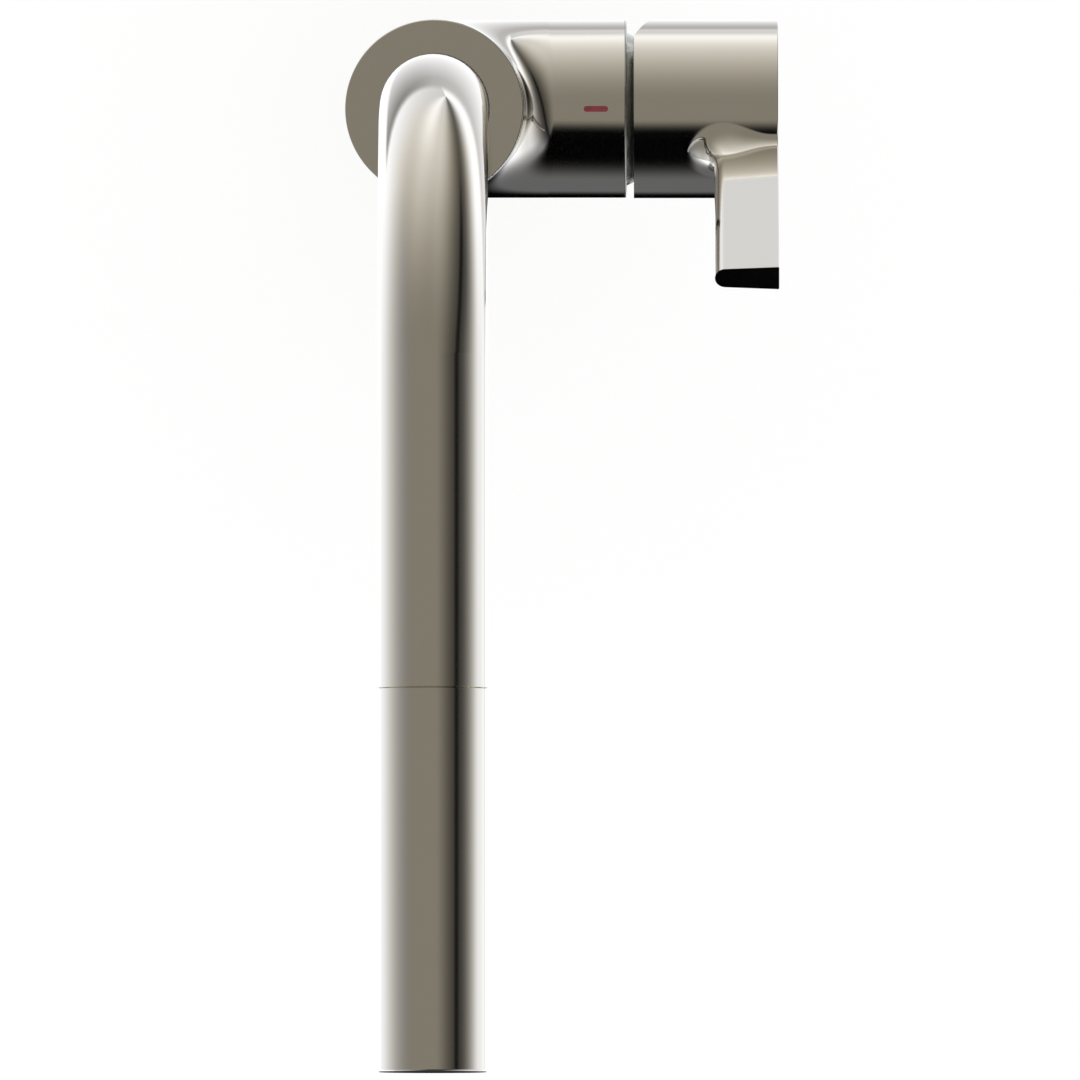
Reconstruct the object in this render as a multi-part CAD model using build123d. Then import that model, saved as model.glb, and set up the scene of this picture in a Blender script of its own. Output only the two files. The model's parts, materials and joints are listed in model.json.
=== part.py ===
from build123d import *
from math import atan2, cos, degrees, radians, sin, sqrt, tan
import os

# Pull-out sink faucet with an L-shaped spout and a lever on its side.
# Millimetres. The origin is the centre of the foot on the deck, +Z is up,
# the spout reaches towards -Y and the valve branch points along +X.

# Clearances
slip = 0.05  # a running fit, on the radius or along the axis
ease = 0.3  # bare metal that passes bare metal
joint_gap = 0.16  # the hairline between the spout and the spray head
rod_play = 0.2  # a nut round a collar, or a ring in its pocket

# Foot and body casting
body_d = 46.0
foot_h = 4.0
casting_h = 98.0
cap_ring_h = 5.0
branch_step = 0.1  # how far the branch's skin lies inside the body's
branch_drop = 32.0  # from the casting's top down to the branch's axis
branch_reach = 48.9  # from the body's axis to the branch's end face
tee_blend = 8.0  # the round between body and branch
edge_round = 0.4
gasket_h = 1.6
gasket_w = 2.6

# Mounting under the deck
foot_w = 6.0  # from the body's skin to the shank's
shank_wall = 2.45
shank_socket = 14.0  # how far the shank screws into the casting
thread_bevel = 0.8
deck_t = 30.0  # the deck that the nut is shown clamping
washer_inset = 0.2  # from the body's skin to the washers'
rubber_washer_h = 3.0
steel_washer_h = 2.0
nut_h = 12.0
nut_wall = 2.8  # from the shank's skin to the nut's flats
nut_bevel_r = 1.7
nut_bevel_h = 1.0
thread_spare = 11.0  # thread left below the nut

# Water ports in the casting's floor
port_r = 3.5  # tapping bore of an M8 x 1 thread
port_depth = 10.0
port_web = 0.7  # metal between a port and the hose's hole
port_spread = 52.0  # degrees between neighbouring ports
channel_r = 2.0
floor_h = 44.0  # solid metal between the shank socket and the swivel bore

# Swivel of the spout
sleeve_wall = 1.9
sleeve_play = 0.5
sleeve_shoulder = 3.4
sleeve_foot = 0.6  # air under the sleeve
sleeve_flange_h = 2.4
thrust_h = 1.0
ledge_w = 2.2  # the ledge that the thrust washer lies on
ring_bore_h = 10.0
glide_h = 8.0
glide_w = 0.9
glide_lip_w = 1.7
cap_lip_h = 1.4  # the top ring's lip over the glide ring
oring_r = 0.74
groove_w = 2.0

# Spout
spout_d = 28.0
spout_wall = 1.5
bend_r = 65.0
riser_h = 180.0
arm_rise = 2.0  # degrees above level, towards the outlet
seam_reach = 147.65
tip_reach = 245.3
seam_bevel = 0.2

# Hose and its guide at the foot of the spout
hose_d = 10.0
hose_wall = 1.5
hose_below = 75.0
hose_room = 1.2  # round the hose, in the casting's floor
guide_l = 10.0
guide_wall = 1.6
guide_flare = 1.0
guide_flare_l = 3.0
tail_ferrule_l = 15.0
tail_hex_h = 6.0
tail_flats = 12.0  # small enough to leave the ports' hoses their way
tail_pin_r = 5.0
tail_l = 16.0
tail_groove_depth = 0.8

# Cartridge of the 35 mm size, its pieces in order from the seat outwards
cartridge_d = 35.0
cartridge_h = 20.0
base_h = 3.5
fixed_disc_h = 3.5
moving_disc_h = 3.0
rotor_flange_h = 1.9
cover_h = 2.5
housing_wall = 2.1
collar_h = 8.0
neck_over_collar = 2.0
disc_room = 0.48  # between the moving disc and the housing at each end of its travel
chamber_share = 0.62  # of the moving disc's radius
chamber_depth = 1.65
seat_port_r = 2.6
seat_port_circle = 8.6
seal_w = 1.5
seal_pocket_h = 1.2
slot_length = 8.8
slot_width = 3.9
locating_r = 1.5
locating_l = 2.2
locating_inset = 5.0  # from the cartridge's skin to a locating pin
locating_turn = 60.0  # degrees from the lowest port to a locating pin

# Stem
pivot_out = 1.1  # the stem's pivot, past the branch's end face
pivot_pin_r = 2.0
pin_play = 0.02
pin_short = 0.5
stem_side = 8.0
stem_room = 0.15
stem_bevel = 0.8
tail_r = 2.0
ball_r = 2.6
ball_play = 0.25
slider_floor = 0.7  # under the ball's pocket
slider_step = 0.2
open_angle = 25.0  # degrees of tilt from shut to full flow
slot_margin = 1.2  # past the stem's tail at the ends of its tilt

# Cartridge nut and the dome over it
nut_thread_h = 4.9
nut_thread_w = 2.05
nut_relief = 2.0
nut_collar_h = 2.4
nut_flat_wall = 1.8
hex_gap = 0.93  # from the hexagon's corners to the dome
hex_headroom = 0.8
dome_gap = 0.75  # from the dome to the bore of the lever's cap
dome_wall = 1.5
dome_seat = 0.1
dome_mouth_r = 13.0
dome_rim_h = 0.7
dome_rim_round = 0.6
dome_groove = 0.9  # the groove that shades the gap between dome and cap
dome_groove_l = 0.7  # from the groove's deepest point, at the cap's start, back to the dome

# Lever handle
cap_d = 46.0
cap_gap = 1.8  # from the dome's rim to the cap
cap_l = 37.2
cap_wall = 2.5
cap_face_t = 3.6
boss_r = 8.0
stem_play = 0.06
socket_land = 0.4
lever_lift = 60.0  # degrees above level, towards the front
lever_length = 87.0  # from the cap's axis to the lever's tip
lever_width = 16.5
lever_edge_t = 5.4
lever_face_t = 6.6
lever_blend = 7.0
cap_edge = 0.3
relief_angle = 21.6
relief_start = 2.0  # how far in front of the axis the relief cut begins
grub_r = 2.5
grub_length = 10.0
grub_key = 1.25
grub_key_depth = 2.0
lug_wall = 2.2
lug_rise = 0.6  # from the boss's end to the lug
plug_r = 3.2
plug_h = 2.4

# Marks on the branch
mark_l = 6.4
mark_w = 1.6
mark_depth = 0.6
mark_inset = 7.3  # from the branch's end face to the middle of a mark

# Docking of the spray head
dock_l = 34.0
dock_lip = 0.6
dock_wall = 2.1
dock_mouth_wall = 1.0
dock_mouth_l = 10.0
dock_taper_l = 2.0
dock_bevel = 0.8
spigot_l = 8.0
spigot_bevel = 1.0
nipple_l = 8.0
hose_nut_gap = 0.4
hose_nut_wall = 2.6
hose_nut_l = 22.0
hose_nut_cylinder = 7.0
hose_nut_tail = 1.4
seal_h = 1.5
ferrule_wall = 1.0
ferrule_l = 29.0

# Spray head
head_wall = 1.5
head_edge = 0.6
inlet_flange_h = 6.0
inlet_bore_r = 4.5
end_cap_h = 4.0

# Check valve
valve_r = 5.5
valve_wall = 1.2
valve_floor = 1.0
poppet_r = 3.4
poppet_h = 1.2
poppet_seat = 0.8
poppet_lift = 1.5
poppet_stem_r = 0.9
bridge_w = 2.0
bridge_h = 1.6
spring_open_h = 6.5  # the spring's height when the valve is open
spring_r = 1.9
spring_wire_r = 0.25
spring_pitch = 1.7

# Waterway and aerator
duct_r = 5.6
duct_wall = 1.5
duct_flange_w = 2.9
duct_flange_h = 2.0
aerator_back = 22.0  # from the tip to the aerator's axis
boss_inset = 1.8  # from the head's skin to the aerator boss's
boss_wall = 1.45
boss_fall = 2.5  # how far the boss stands below the head
aerator_thread_h = 5.5
aerator_wall = 1.4
aerator_rim_h = 2.0
aerator_rim_w = 0.2
aerator_bevel = 0.4
aerator_lip = 0.4
jet_recess = 0.5
jet_plate_t = 3.0
jet_skirt_h = 6.0
jet_skirt_w = 1.15
jet_r = 0.75
jet_pitch = 3.4
jet_rings = 2

# Radii that follow from the sizes above
body_r = body_d / 2
branch_r = body_r - branch_step
shank_r = body_r - foot_w
washer_r = body_r - washer_inset
nut_flat_r = shank_r + nut_wall
shank_below = deck_t + rubber_washer_h + steel_washer_h + nut_h + thread_spare
shank_bore_r = shank_r - shank_wall
gasket_mid_r = (body_r + shank_r + ease) / 2
spout_r = spout_d / 2
spout_bore_r = spout_r - spout_wall
sleeve_r = spout_r + sleeve_wall
swivel_bore_r = sleeve_r + sleeve_play
ring_bore_r = swivel_bore_r + ledge_w
glide_lip_r = spout_r + glide_lip_w
hose_r = hose_d / 2
hose_bore_r = hose_r - hose_wall
hose_hole_r = hose_r + hose_room
port_circle_r = hose_hole_r + port_web + port_r
cartridge_r = cartridge_d / 2
cavity_r = cartridge_r + 2 * slip
nut_thread_r = cartridge_r + nut_thread_w
cap_r = cap_d / 2
thin_r = cap_r - cap_wall
dome_r = thin_r - dome_gap
dome_bore_r = dome_r - dome_wall
hex_corner_r = dome_bore_r - hex_gap
collar_r = hex_corner_r * sqrt(3) / 2 - nut_flat_wall - rod_play
dock_mouth_r = spout_bore_r - dock_mouth_wall
dock_throat_r = spout_bore_r - dock_wall
spigot_r = dock_mouth_r - ease
hose_nut_r = dock_throat_r - hose_nut_gap
nipple_r = hose_nut_r - hose_nut_wall
ferrule_r = hose_r + slip + ferrule_wall
aerator_boss_r = spout_r - boss_inset
aerator_thread_r = aerator_boss_r - boss_wall
aerator_bore_r = aerator_thread_r - aerator_wall
boss_drop = spout_r + boss_fall

# Heights and places that follow from them
casting_top = foot_h + casting_h
ring_top = casting_top + cap_ring_h
branch_z = casting_top - branch_drop
socket_top = foot_h + shank_socket
swivel_floor = socket_top + floor_h
ring_bore_floor = casting_top - ring_bore_h
journal_z = swivel_floor + glide_h + sleeve_foot
flange_z = ring_bore_floor + thrust_h + slip
upper_glide_z = flange_z + sleeve_flange_h + slip
seat_x = branch_reach - nut_thread_h - cartridge_h
pivot_x = branch_reach + pivot_out
cap_start = branch_reach + dome_rim_h + cap_gap
cap_end = cap_start + cap_l
cap_floor = cap_end - cap_face_t
boss_end = pivot_x + dome_r
lug_end = boss_end + lug_rise
grub_z = (lug_end + cap_floor) / 2
lever_angle = radians(lever_lift)


def ring(outer_r, inner_r, bottom, top):
    """A round ring about Z, or a disc where the inner radius is 0."""
    section = Circle(outer_r) - Circle(inner_r) if inner_r else Circle(outer_r)
    return Pos(0, 0, bottom) * extrude(section, top - bottom)


def turned(points):
    """A solid turned about Z from (radius, height) points."""
    return revolve(Plane.XZ * make_face(Polyline(*points, close=True)), Axis.Z)


def drilled(start, end, radius):
    """A straight round hole from one point to another."""
    way = Vector(end) - Vector(start)
    return Plane(origin=start, z_dir=way) * ring(radius, 0, 0, way.length)


def oring(bore_r, height):
    """An O-ring about Z that just clears the bore it seals."""
    return Pos(0, 0, height) * Torus(bore_r - oring_r - slip, oring_r)


def oring_groove(bore_r, shaft_r, height):
    """The groove for that O-ring in a shaft."""
    floor_r = bore_r - 2 * oring_r - 2 * slip
    return ring(shaft_r + 1, floor_r, height - groove_w / 2, height + groove_w / 2)


# Frame of the branch: Z runs out along the branch from the body's axis,
# and X points along the lever.
branch = Plane(
    origin=(0, 0, branch_z),
    x_dir=(0, -cos(lever_angle), sin(lever_angle)),
    z_dir=(1, 0, 0),
)

# The spout's centreline: up the riser, round the bend and along the arm.
turn = radians(90 - arm_rise)
bend_centre = Vector(0, -bend_r, riser_h)
arm_way = Vector(0, -sin(turn), cos(turn))


def on_bend(angle):
    return bend_centre + Vector(0, bend_r * cos(angle), bend_r * sin(angle))


def on_arm(reach):
    """The point of the arm's centreline at this distance in front of the body's axis."""
    start = on_bend(turn)
    return start + arm_way * ((reach + start.Y) / -arm_way.Y)


seam = on_arm(seam_reach)
head_l = (on_arm(tip_reach) - seam).length

# Frame of the arm: Z runs out of the spout from the seam, and Y points up.
arm = Plane(origin=seam, x_dir=(1, 0, 0), z_dir=arm_way)


def spout_line(bottom, past_seam):
    """The centreline from a height on the riser to a distance past the seam."""
    riser = Line((0, 0, bottom), (0, 0, riser_h))
    bend = ThreePointArc(on_bend(0), on_bend(turn / 2), on_bend(turn))
    reach = Line(on_bend(turn), seam + arm_way * past_seam)
    return riser + bend + reach


def bent_tube(outer_r, inner_r, bottom, past_seam):
    section = Pos(0, 0, bottom) * (Circle(outer_r) - Circle(inner_r))
    return sweep(sections=section, path=spout_line(bottom, past_seam))


# Foot and body


def foot_ring():
    groove_in = gasket_mid_r - gasket_w / 2 - slip
    groove_out = gasket_mid_r + gasket_w / 2 + slip
    foot = ring(body_r, shank_r + ease, 0, foot_h)
    foot = chamfer(foot.edges().group_by(Axis.Z)[-1].sort_by(SortBy.RADIUS)[-1], edge_round / 2)
    return foot - ring(groove_out, groove_in, 0, gasket_h)


def foot_gasket():
    return ring(gasket_mid_r + gasket_w / 2, gasket_mid_r - gasket_w / 2, 0, gasket_h)


def port_point(turns, height):
    """A port's centre; 0 is the mixed-water port, -1 and 1 are cold and hot."""
    angle = radians(turns * port_spread)
    return Vector(port_circle_r * cos(angle), port_circle_r * sin(angle), height)


def seat_point(turns, depth):
    """Where a channel meets the cartridge's seat; the mixed-water port is the lowest."""
    angle = radians(-90 + 120 * turns)
    return Vector(
        seat_x - depth, seat_port_circle * cos(angle), branch_z + seat_port_circle * sin(angle)
    )


def locating_pin(side, extra_l, extra_r):
    """A pin between the cartridge and its seat, or its hole; the extras make the hole larger."""
    angle = radians(-90 + side * locating_turn)
    circle_r = cartridge_r - locating_inset
    at = Vector(seat_x, circle_r * cos(angle), branch_z + circle_r * sin(angle))
    return drilled(at - Vector(locating_l + extra_l, 0, 0), at + Vector(1, 0, 0), locating_r + extra_r)


def mark_shape(margin):
    return Rot(0, 0, 90) * SlotOverall(mark_l - margin, mark_w - margin)


def mark_plane(angle):
    """A plane on the branch's skin, turned about the branch from the top towards the front."""
    out = Vector(0, -sin(radians(angle)), cos(radians(angle)))
    at = Vector(branch_reach - mark_inset, 0, branch_z) + out * (branch_r - mark_depth)
    return Plane(origin=at, x_dir=out.cross(Vector(1, 0, 0)), z_dir=out)


def body_casting():
    body = ring(body_r, 0, foot_h, casting_top)
    side = branch * ring(branch_r, 0, 0, branch_reach)
    tee = body + side
    crossing = [e for e in tee.edges() if e.geom_type not in (GeomType.CIRCLE, GeomType.LINE)]
    tee = fillet(crossing, tee_blend)
    tee -= ring(shank_r + slip, 0, foot_h, socket_top)
    tee -= ring(hose_hole_r, 0, socket_top, swivel_floor)
    tee -= ring(swivel_bore_r, 0, swivel_floor, ring_bore_floor)
    tee -= ring(ring_bore_r, 0, ring_bore_floor, casting_top)
    tee -= branch * ring(cavity_r, 0, seat_x, branch_reach)
    thread_start = branch_reach - nut_thread_h - nut_relief
    tee -= branch * ring(nut_thread_r + slip, 0, thread_start, branch_reach)
    channel_start = socket_top + port_depth - channel_r
    for turns in (-1, 0, 1):
        mouth = port_point(turns, socket_top)
        end = port_point(turns, socket_top + port_depth)
        tee -= drilled(mouth, end, port_r)
        tee -= drilled(port_point(turns, channel_start), seat_point(turns, channel_r), channel_r)
        tee -= drilled(seat_point(turns, 1.3 * channel_r), seat_point(turns, -1), channel_r)
    for side in (-1, 1):
        tee -= locating_pin(side, ease, slip)
    for angle in (0, 90):
        tee -= mark_plane(angle) * extrude(mark_shape(0), 2 * mark_depth)
    return tee


def branch_mark(angle):
    """A coloured bar let into the branch, flush with its round skin."""
    bar = mark_plane(angle) * extrude(mark_shape(2 * slip), 2 * mark_depth)
    return bar & (branch * ring(branch_r, branch_r - 2 * mark_depth, 0, branch_reach))


def top_ring():
    thread_r = ring_bore_r - slip
    lip = ring_top - cap_lip_h
    spigot_end = upper_glide_z + thrust_h
    cap = turned(
        [
            (spout_r + ease, ring_top),
            (body_r, ring_top),
            (body_r, casting_top),
            (thread_r, casting_top),
            (thread_r, spigot_end),
            (glide_lip_r, spigot_end),
            (glide_lip_r, lip),
            (spout_r + ease, lip),
        ]
    )
    rim = cap.edges().group_by(Axis.Z)[-1].sort_by(SortBy.RADIUS)[-1]
    return fillet(rim, edge_round)


def upper_glide_ring():
    """The plastic bush between the spout and the top ring, with a flange on the sleeve."""
    inner = spout_r + slip
    flange_r = ring_bore_r - rod_play
    top = ring_top - cap_lip_h - slip
    return turned(
        [
            (inner, upper_glide_z),
            (flange_r, upper_glide_z),
            (flange_r, upper_glide_z + thrust_h),
            (glide_lip_r - slip, upper_glide_z + thrust_h),
            (glide_lip_r - slip, top),
            (inner, top),
        ]
    )


def thrust_washer():
    inner = swivel_bore_r + 3 * slip
    return ring(ring_bore_r - 2 * slip, inner, ring_bore_floor, ring_bore_floor + thrust_h)


def lower_glide_ring():
    inner = swivel_bore_r - glide_w
    return ring(swivel_bore_r - slip / 2, inner, swivel_floor, swivel_floor + glide_h)


# Fittings under the deck


def mounting_shank():
    shank = ring(shank_r, shank_bore_r, -shank_below, socket_top)
    ends = shank.edges().filter_by(GeomType.CIRCLE).group_by(SortBy.RADIUS)[-1]
    return chamfer(ends, thread_bevel)


def deck_washer():
    return ring(washer_r, shank_r + slip, -deck_t - rubber_washer_h, -deck_t)


def clamp_washer():
    top = -deck_t - rubber_washer_h
    return ring(washer_r, shank_r + 4 * slip, top - steel_washer_h, top)


def mounting_nut():
    top = -deck_t - rubber_washer_h - steel_washer_h
    corner_r = nut_flat_r * 2 / sqrt(3)
    hexagon = Pos(0, 0, top - nut_h) * extrude(RegularPolygon(corner_r, 6), nut_h)
    bevel = Pos(0, 0, top - nut_h) * turned(
        [
            (0, 0),
            (corner_r - nut_bevel_r, 0),
            (corner_r, nut_bevel_h),
            (corner_r, nut_h - nut_bevel_h),
            (corner_r - nut_bevel_r, nut_h),
            (0, nut_h),
        ]
    )
    return (hexagon & bevel) - ring(shank_r + slip, 0, top - nut_h, top)


# Spout


def spout_tube():
    bottom = swivel_floor + sleeve_foot + sleeve_shoulder
    tube = bent_tube(spout_r, spout_bore_r, bottom, -joint_gap / 2)
    return chamfer(outer_rim(tube, 0, 2), seam_bevel)


def swivel_sleeve():
    """The brass foot of the spout: a journal, a groove for the O-ring and a flange that hangs it."""
    bottom = swivel_floor + sleeve_foot
    shoulder = bottom + sleeve_shoulder
    journal_r = swivel_bore_r - glide_w - slip
    flange_r = ring_bore_r - 2 * rod_play
    bore_r = spout_r + slip / 2
    sleeve = turned(
        [
            (spout_bore_r, bottom),
            (journal_r, bottom),
            (journal_r, journal_z),
            (sleeve_r, journal_z),
            (sleeve_r, flange_z),
            (flange_r, flange_z),
            (flange_r, flange_z + sleeve_flange_h),
            (bore_r, flange_z + sleeve_flange_h),
            (bore_r, shoulder),
            (spout_bore_r, shoulder),
        ]
    )
    return sleeve - oring_groove(swivel_bore_r, sleeve_r, (journal_z + flange_z) / 2)


def spout_oring():
    return oring(swivel_bore_r, (journal_z + flange_z) / 2)


def hose_guide():
    """The spoked plastic guide that keeps the hose on the spout's axis."""
    bottom = swivel_floor + sleeve_foot + ease
    top = bottom + guide_l
    hub_r = hose_r + ease
    outer = spout_bore_r - slip
    guide = ring(hub_r + guide_wall, 0, bottom, top)
    guide += ring(outer, outer - guide_wall, bottom, top)
    spoke = Pos(outer / 2, 0, (bottom + top) / 2) * Box(outer - guide_wall, guide_wall, guide_l)
    guide += [Rot(0, 0, 120 * n) * spoke for n in range(3)]
    throat = turned(
        [
            (0, bottom),
            (hub_r + guide_flare, bottom),
            (hub_r, bottom + guide_flare_l),
            (hub_r, top - guide_flare_l),
            (hub_r + guide_flare, top),
            (0, top),
        ]
    )
    return guide - throat


def spray_hose():
    end = -spigot_l - nipple_l - 2 * seal_h
    return bent_tube(hose_r, hose_bore_r, -hose_below, end)


def hose_tail():
    """The hose's lower end: a crimped ferrule, a hexagon and a push-in nipple with a clip groove."""
    hex_top = -hose_below - ferrule_wall
    hex_foot = hex_top - tail_hex_h
    foot = hex_foot - tail_l
    tail = ring(ferrule_r, 0, hex_top, -hose_below + tail_ferrule_l)
    tail += Pos(0, 0, hex_foot) * extrude(RegularPolygon(tail_flats / sqrt(3), 6), tail_hex_h)
    nipple = ring(tail_pin_r, 0, foot, hex_foot)
    tail += chamfer(nipple.edges().group_by(Axis.Z)[0], edge_round)
    groove_z = (foot + hex_foot) / 2
    tail -= ring(tail_pin_r + 1, tail_pin_r - tail_groove_depth, groove_z, groove_z + groove_w)
    tail -= ring(hose_r + slip, 0, -hose_below, -hose_below + tail_ferrule_l)
    return tail - ring(hose_bore_r, 0, foot, -hose_below)


def dock_socket():
    """The plastic bush in the spout's end that guides the spray head home."""
    outer = spout_bore_r - slip
    return arm * turned(
        [
            (dock_mouth_r + dock_bevel / 2, -dock_lip),
            (outer, -dock_lip),
            (outer, -dock_l),
            (dock_throat_r + dock_bevel, -dock_l),
            (dock_throat_r, -dock_l + dock_taper_l),
            (dock_throat_r, -dock_mouth_l - dock_taper_l),
            (dock_mouth_r, -dock_mouth_l),
            (dock_mouth_r, -dock_lip - dock_bevel),
        ]
    )


# Spray head, drawn in the arm's frame


def hose_seal():
    face = -spigot_l - nipple_l
    return arm * ring(nipple_r - rod_play, hose_bore_r, face - seal_h, face)


def hose_ferrule():
    """The crimped sleeve and its flange at the end of the hose."""
    face = -spigot_l - nipple_l - seal_h
    flange_r = nipple_r - rod_play / 2
    return arm * turned(
        [
            (hose_bore_r, face),
            (flange_r, face),
            (flange_r, face - seal_h),
            (ferrule_r, face - seal_h),
            (ferrule_r, face - ferrule_l),
            (hose_r + slip, face - ferrule_l),
            (hose_r + slip, face - seal_h),
            (hose_bore_r, face - seal_h),
        ]
    )


def hose_nut():
    """The cone-backed nut that holds the hose on the head's inlet."""
    front = -spigot_l - ease
    step = -spigot_l - nipple_l - 2 * seal_h
    throat = ferrule_r + 2 * slip
    nut = turned(
        [
            (nipple_r + slip, front),
            (hose_nut_r, front),
            (hose_nut_r, front - hose_nut_cylinder),
            (throat + hose_nut_tail, front - hose_nut_l),
            (throat, front - hose_nut_l),
            (throat, step),
            (nipple_r + slip, step),
        ]
    )
    return arm * nut


inlet_front = joint_gap / 2 + inlet_flange_h
bridge_z = inlet_front - ease / 2 - bridge_h
poppet_top = bridge_z - spring_open_h - poppet_lift
poppet_z = poppet_top - poppet_h
valve_rear = poppet_z - slip - valve_floor


def head_inlet():
    """The head's brass inlet: a docking spigot, a threaded nipple and a flange inside the shell."""
    flange_r = spout_bore_r - slip
    pocket_r = valve_r + slip
    body = turned(
        [
            (inlet_bore_r, -spigot_l - nipple_l),
            (nipple_r, -spigot_l - nipple_l),
            (nipple_r, -spigot_l),
            (spigot_r - spigot_bevel, -spigot_l),
            (spigot_r, -spigot_l + spigot_bevel),
            (spigot_r, joint_gap / 2),
            (flange_r, joint_gap / 2),
            (flange_r, inlet_front),
            (pocket_r, inlet_front),
            (pocket_r, valve_rear),
            (inlet_bore_r, valve_rear),
        ]
    )
    return arm * (body - oring_groove(dock_mouth_r, spigot_r, -spigot_l / 2))


def dock_oring():
    return arm * oring(dock_mouth_r, -spigot_l / 2)


def check_valve_body():
    """The valve's plastic cup, with a seat at its rear and a bridge that guides the poppet."""
    bore_r = valve_r - valve_wall
    seat_r = poppet_r - poppet_seat
    shell = turned(
        [
            (seat_r, valve_rear),
            (valve_r, valve_rear),
            (valve_r, inlet_front),
            (bore_r, inlet_front),
            (bore_r, valve_rear + valve_floor),
            (seat_r, valve_rear + valve_floor),
        ]
    )
    bridge = Pos(0, 0, bridge_z + bridge_h / 2) * Box(2 * bore_r + valve_wall, bridge_w, bridge_h)
    eye = ring(poppet_stem_r + bridge_w / 2, 0, bridge_z, bridge_z + bridge_h)
    guide_hole = ring(poppet_stem_r + rod_play, 0, bridge_z, bridge_z + bridge_h)
    return arm * (shell + bridge + eye - guide_hole)


def check_valve_poppet():
    """The flap of the valve on its stem, which slides in the bridge."""
    head = ring(poppet_r, 0, poppet_z, poppet_top)
    return arm * (head + ring(poppet_stem_r, 0, poppet_z, bridge_z + bridge_h))


def check_valve_spring():
    """A light coil round the poppet's stem, from the poppet to the bridge."""
    bottom = poppet_top + slip + spring_wire_r
    top = bridge_z - slip - spring_wire_r
    coil = Helix(pitch=spring_pitch, height=top - bottom, radius=spring_r)
    start = Plane(origin=coil @ 0, z_dir=coil % 0)
    return arm * (Pos(0, 0, bottom) * sweep(sections=start * Circle(spring_wire_r), path=coil))


aerator_z = head_l - aerator_back

# Frame of the aerator: Z runs down out of the head.
outlet = arm * Plane(origin=(0, 0, aerator_z), x_dir=(1, 0, 0), z_dir=(0, -1, 0))


def head_shell():
    start = joint_gap / 2
    shell = arm * ring(spout_r, 0, start, head_l)
    shell += outlet * ring(aerator_boss_r, 0, 0, boss_drop)
    shell -= arm * ring(spout_r - head_wall, 0, start, head_l)
    shell -= outlet * ring(aerator_thread_r + slip, 0, 0, boss_drop)
    shell = chamfer(outer_rim(shell, -2, None), seam_bevel)
    return fillet(outer_rim(shell, 0, 2), head_edge)


def outer_rim(shell, first, last):
    """The larger of the two circles at one end of a tube that runs along Y."""
    circles = shell.edges().filter_by(GeomType.CIRCLE).sort_by(Axis.Y)
    return circles[first:last].sort_by(SortBy.RADIUS)[-1]


def head_end_cap():
    return arm * ring(spout_r - head_wall - slip, 0, head_l - end_cap_h, head_l)


def waterway():
    """The plastic duct from the inlet to the chamber over the aerator."""
    room_r = spout_r - head_wall - ease
    chamber_top = -sqrt(room_r**2 - aerator_thread_r**2)
    chamber_foot = boss_drop - aerator_thread_h - seal_h
    bore_r = duct_r - duct_wall
    duct = arm * ring(duct_r, 0, inlet_front, aerator_z)
    duct += arm * ring(duct_r + duct_flange_w, 0, inlet_front, inlet_front + duct_flange_h)
    duct += outlet * ring(aerator_thread_r, 0, chamber_top, chamber_foot)
    hollow = arm * ring(bore_r, 0, inlet_front, aerator_z)
    hollow += outlet * ring(aerator_thread_r - duct_wall, 0, chamber_top + duct_wall, chamber_foot)
    return duct - hollow


def aerator_seal():
    foot = boss_drop - aerator_thread_h
    return outlet * ring(aerator_thread_r, aerator_bore_r - aerator_lip, foot - seal_h, foot)


def aerator_housing():
    thread = boss_drop - aerator_thread_h
    rim_end = boss_drop + aerator_rim_h
    rim_r = aerator_boss_r - aerator_rim_w
    return outlet * turned(
        [
            (aerator_bore_r, thread),
            (aerator_thread_r, thread),
            (aerator_thread_r, boss_drop),
            (rim_r, boss_drop),
            (rim_r, rim_end - aerator_bevel),
            (rim_r - aerator_bevel, rim_end),
            (aerator_bore_r + aerator_bevel, rim_end),
            (aerator_bore_r, rim_end - aerator_bevel),
        ]
    )


def aerator_insert():
    """The jet plate, with its holes on a triangular grid."""
    outer = aerator_bore_r - slip
    foot = boss_drop + aerator_rim_h - jet_recess
    plate = ring(outer, 0, foot - jet_plate_t, foot)
    plate += ring(outer, outer - jet_skirt_w, foot - jet_skirt_h, foot)
    jet = ring(jet_r, 0, foot - jet_plate_t, foot)
    jets = []
    for row in range(-jet_rings, jet_rings + 1):
        for n in range(2 * jet_rings + 1 - abs(row)):
            x = (n - jet_rings + abs(row) / 2) * jet_pitch
            jets.append(Pos(x, row * jet_pitch * sqrt(3) / 2, 0) * jet)
    return outlet * (plate - jets)


# Cartridge, drawn in the branch's frame

fixed_z = seat_x + base_h
moving_z = fixed_z + fixed_disc_h + slip
slider_z = moving_z + moving_disc_h
shoulder_z = seat_x + cartridge_h
cover_z = shoulder_z - cover_h
rotor_z = cover_z - 2 * slip - rotor_flange_h
slider_top = rotor_z - 2 * slip
collar_top = shoulder_z + collar_h
rotor_top = collar_top + neck_over_collar
housing_bore_r = cartridge_r - 2 * slip - housing_wall
rotor_neck_r = collar_r - housing_wall
ball_z = slider_z + slider_floor + ball_play + ball_r
ball_drop = pivot_x - ball_z
disc_travel = ball_drop * sin(radians(open_angle))
moving_disc_r = housing_bore_r - disc_travel / 2 - disc_room


def to_seat(turns):
    """A seat port's place in the branch's own frame."""
    place = seat_point(turns, 0)
    return branch.to_local_coords(place)


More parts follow.
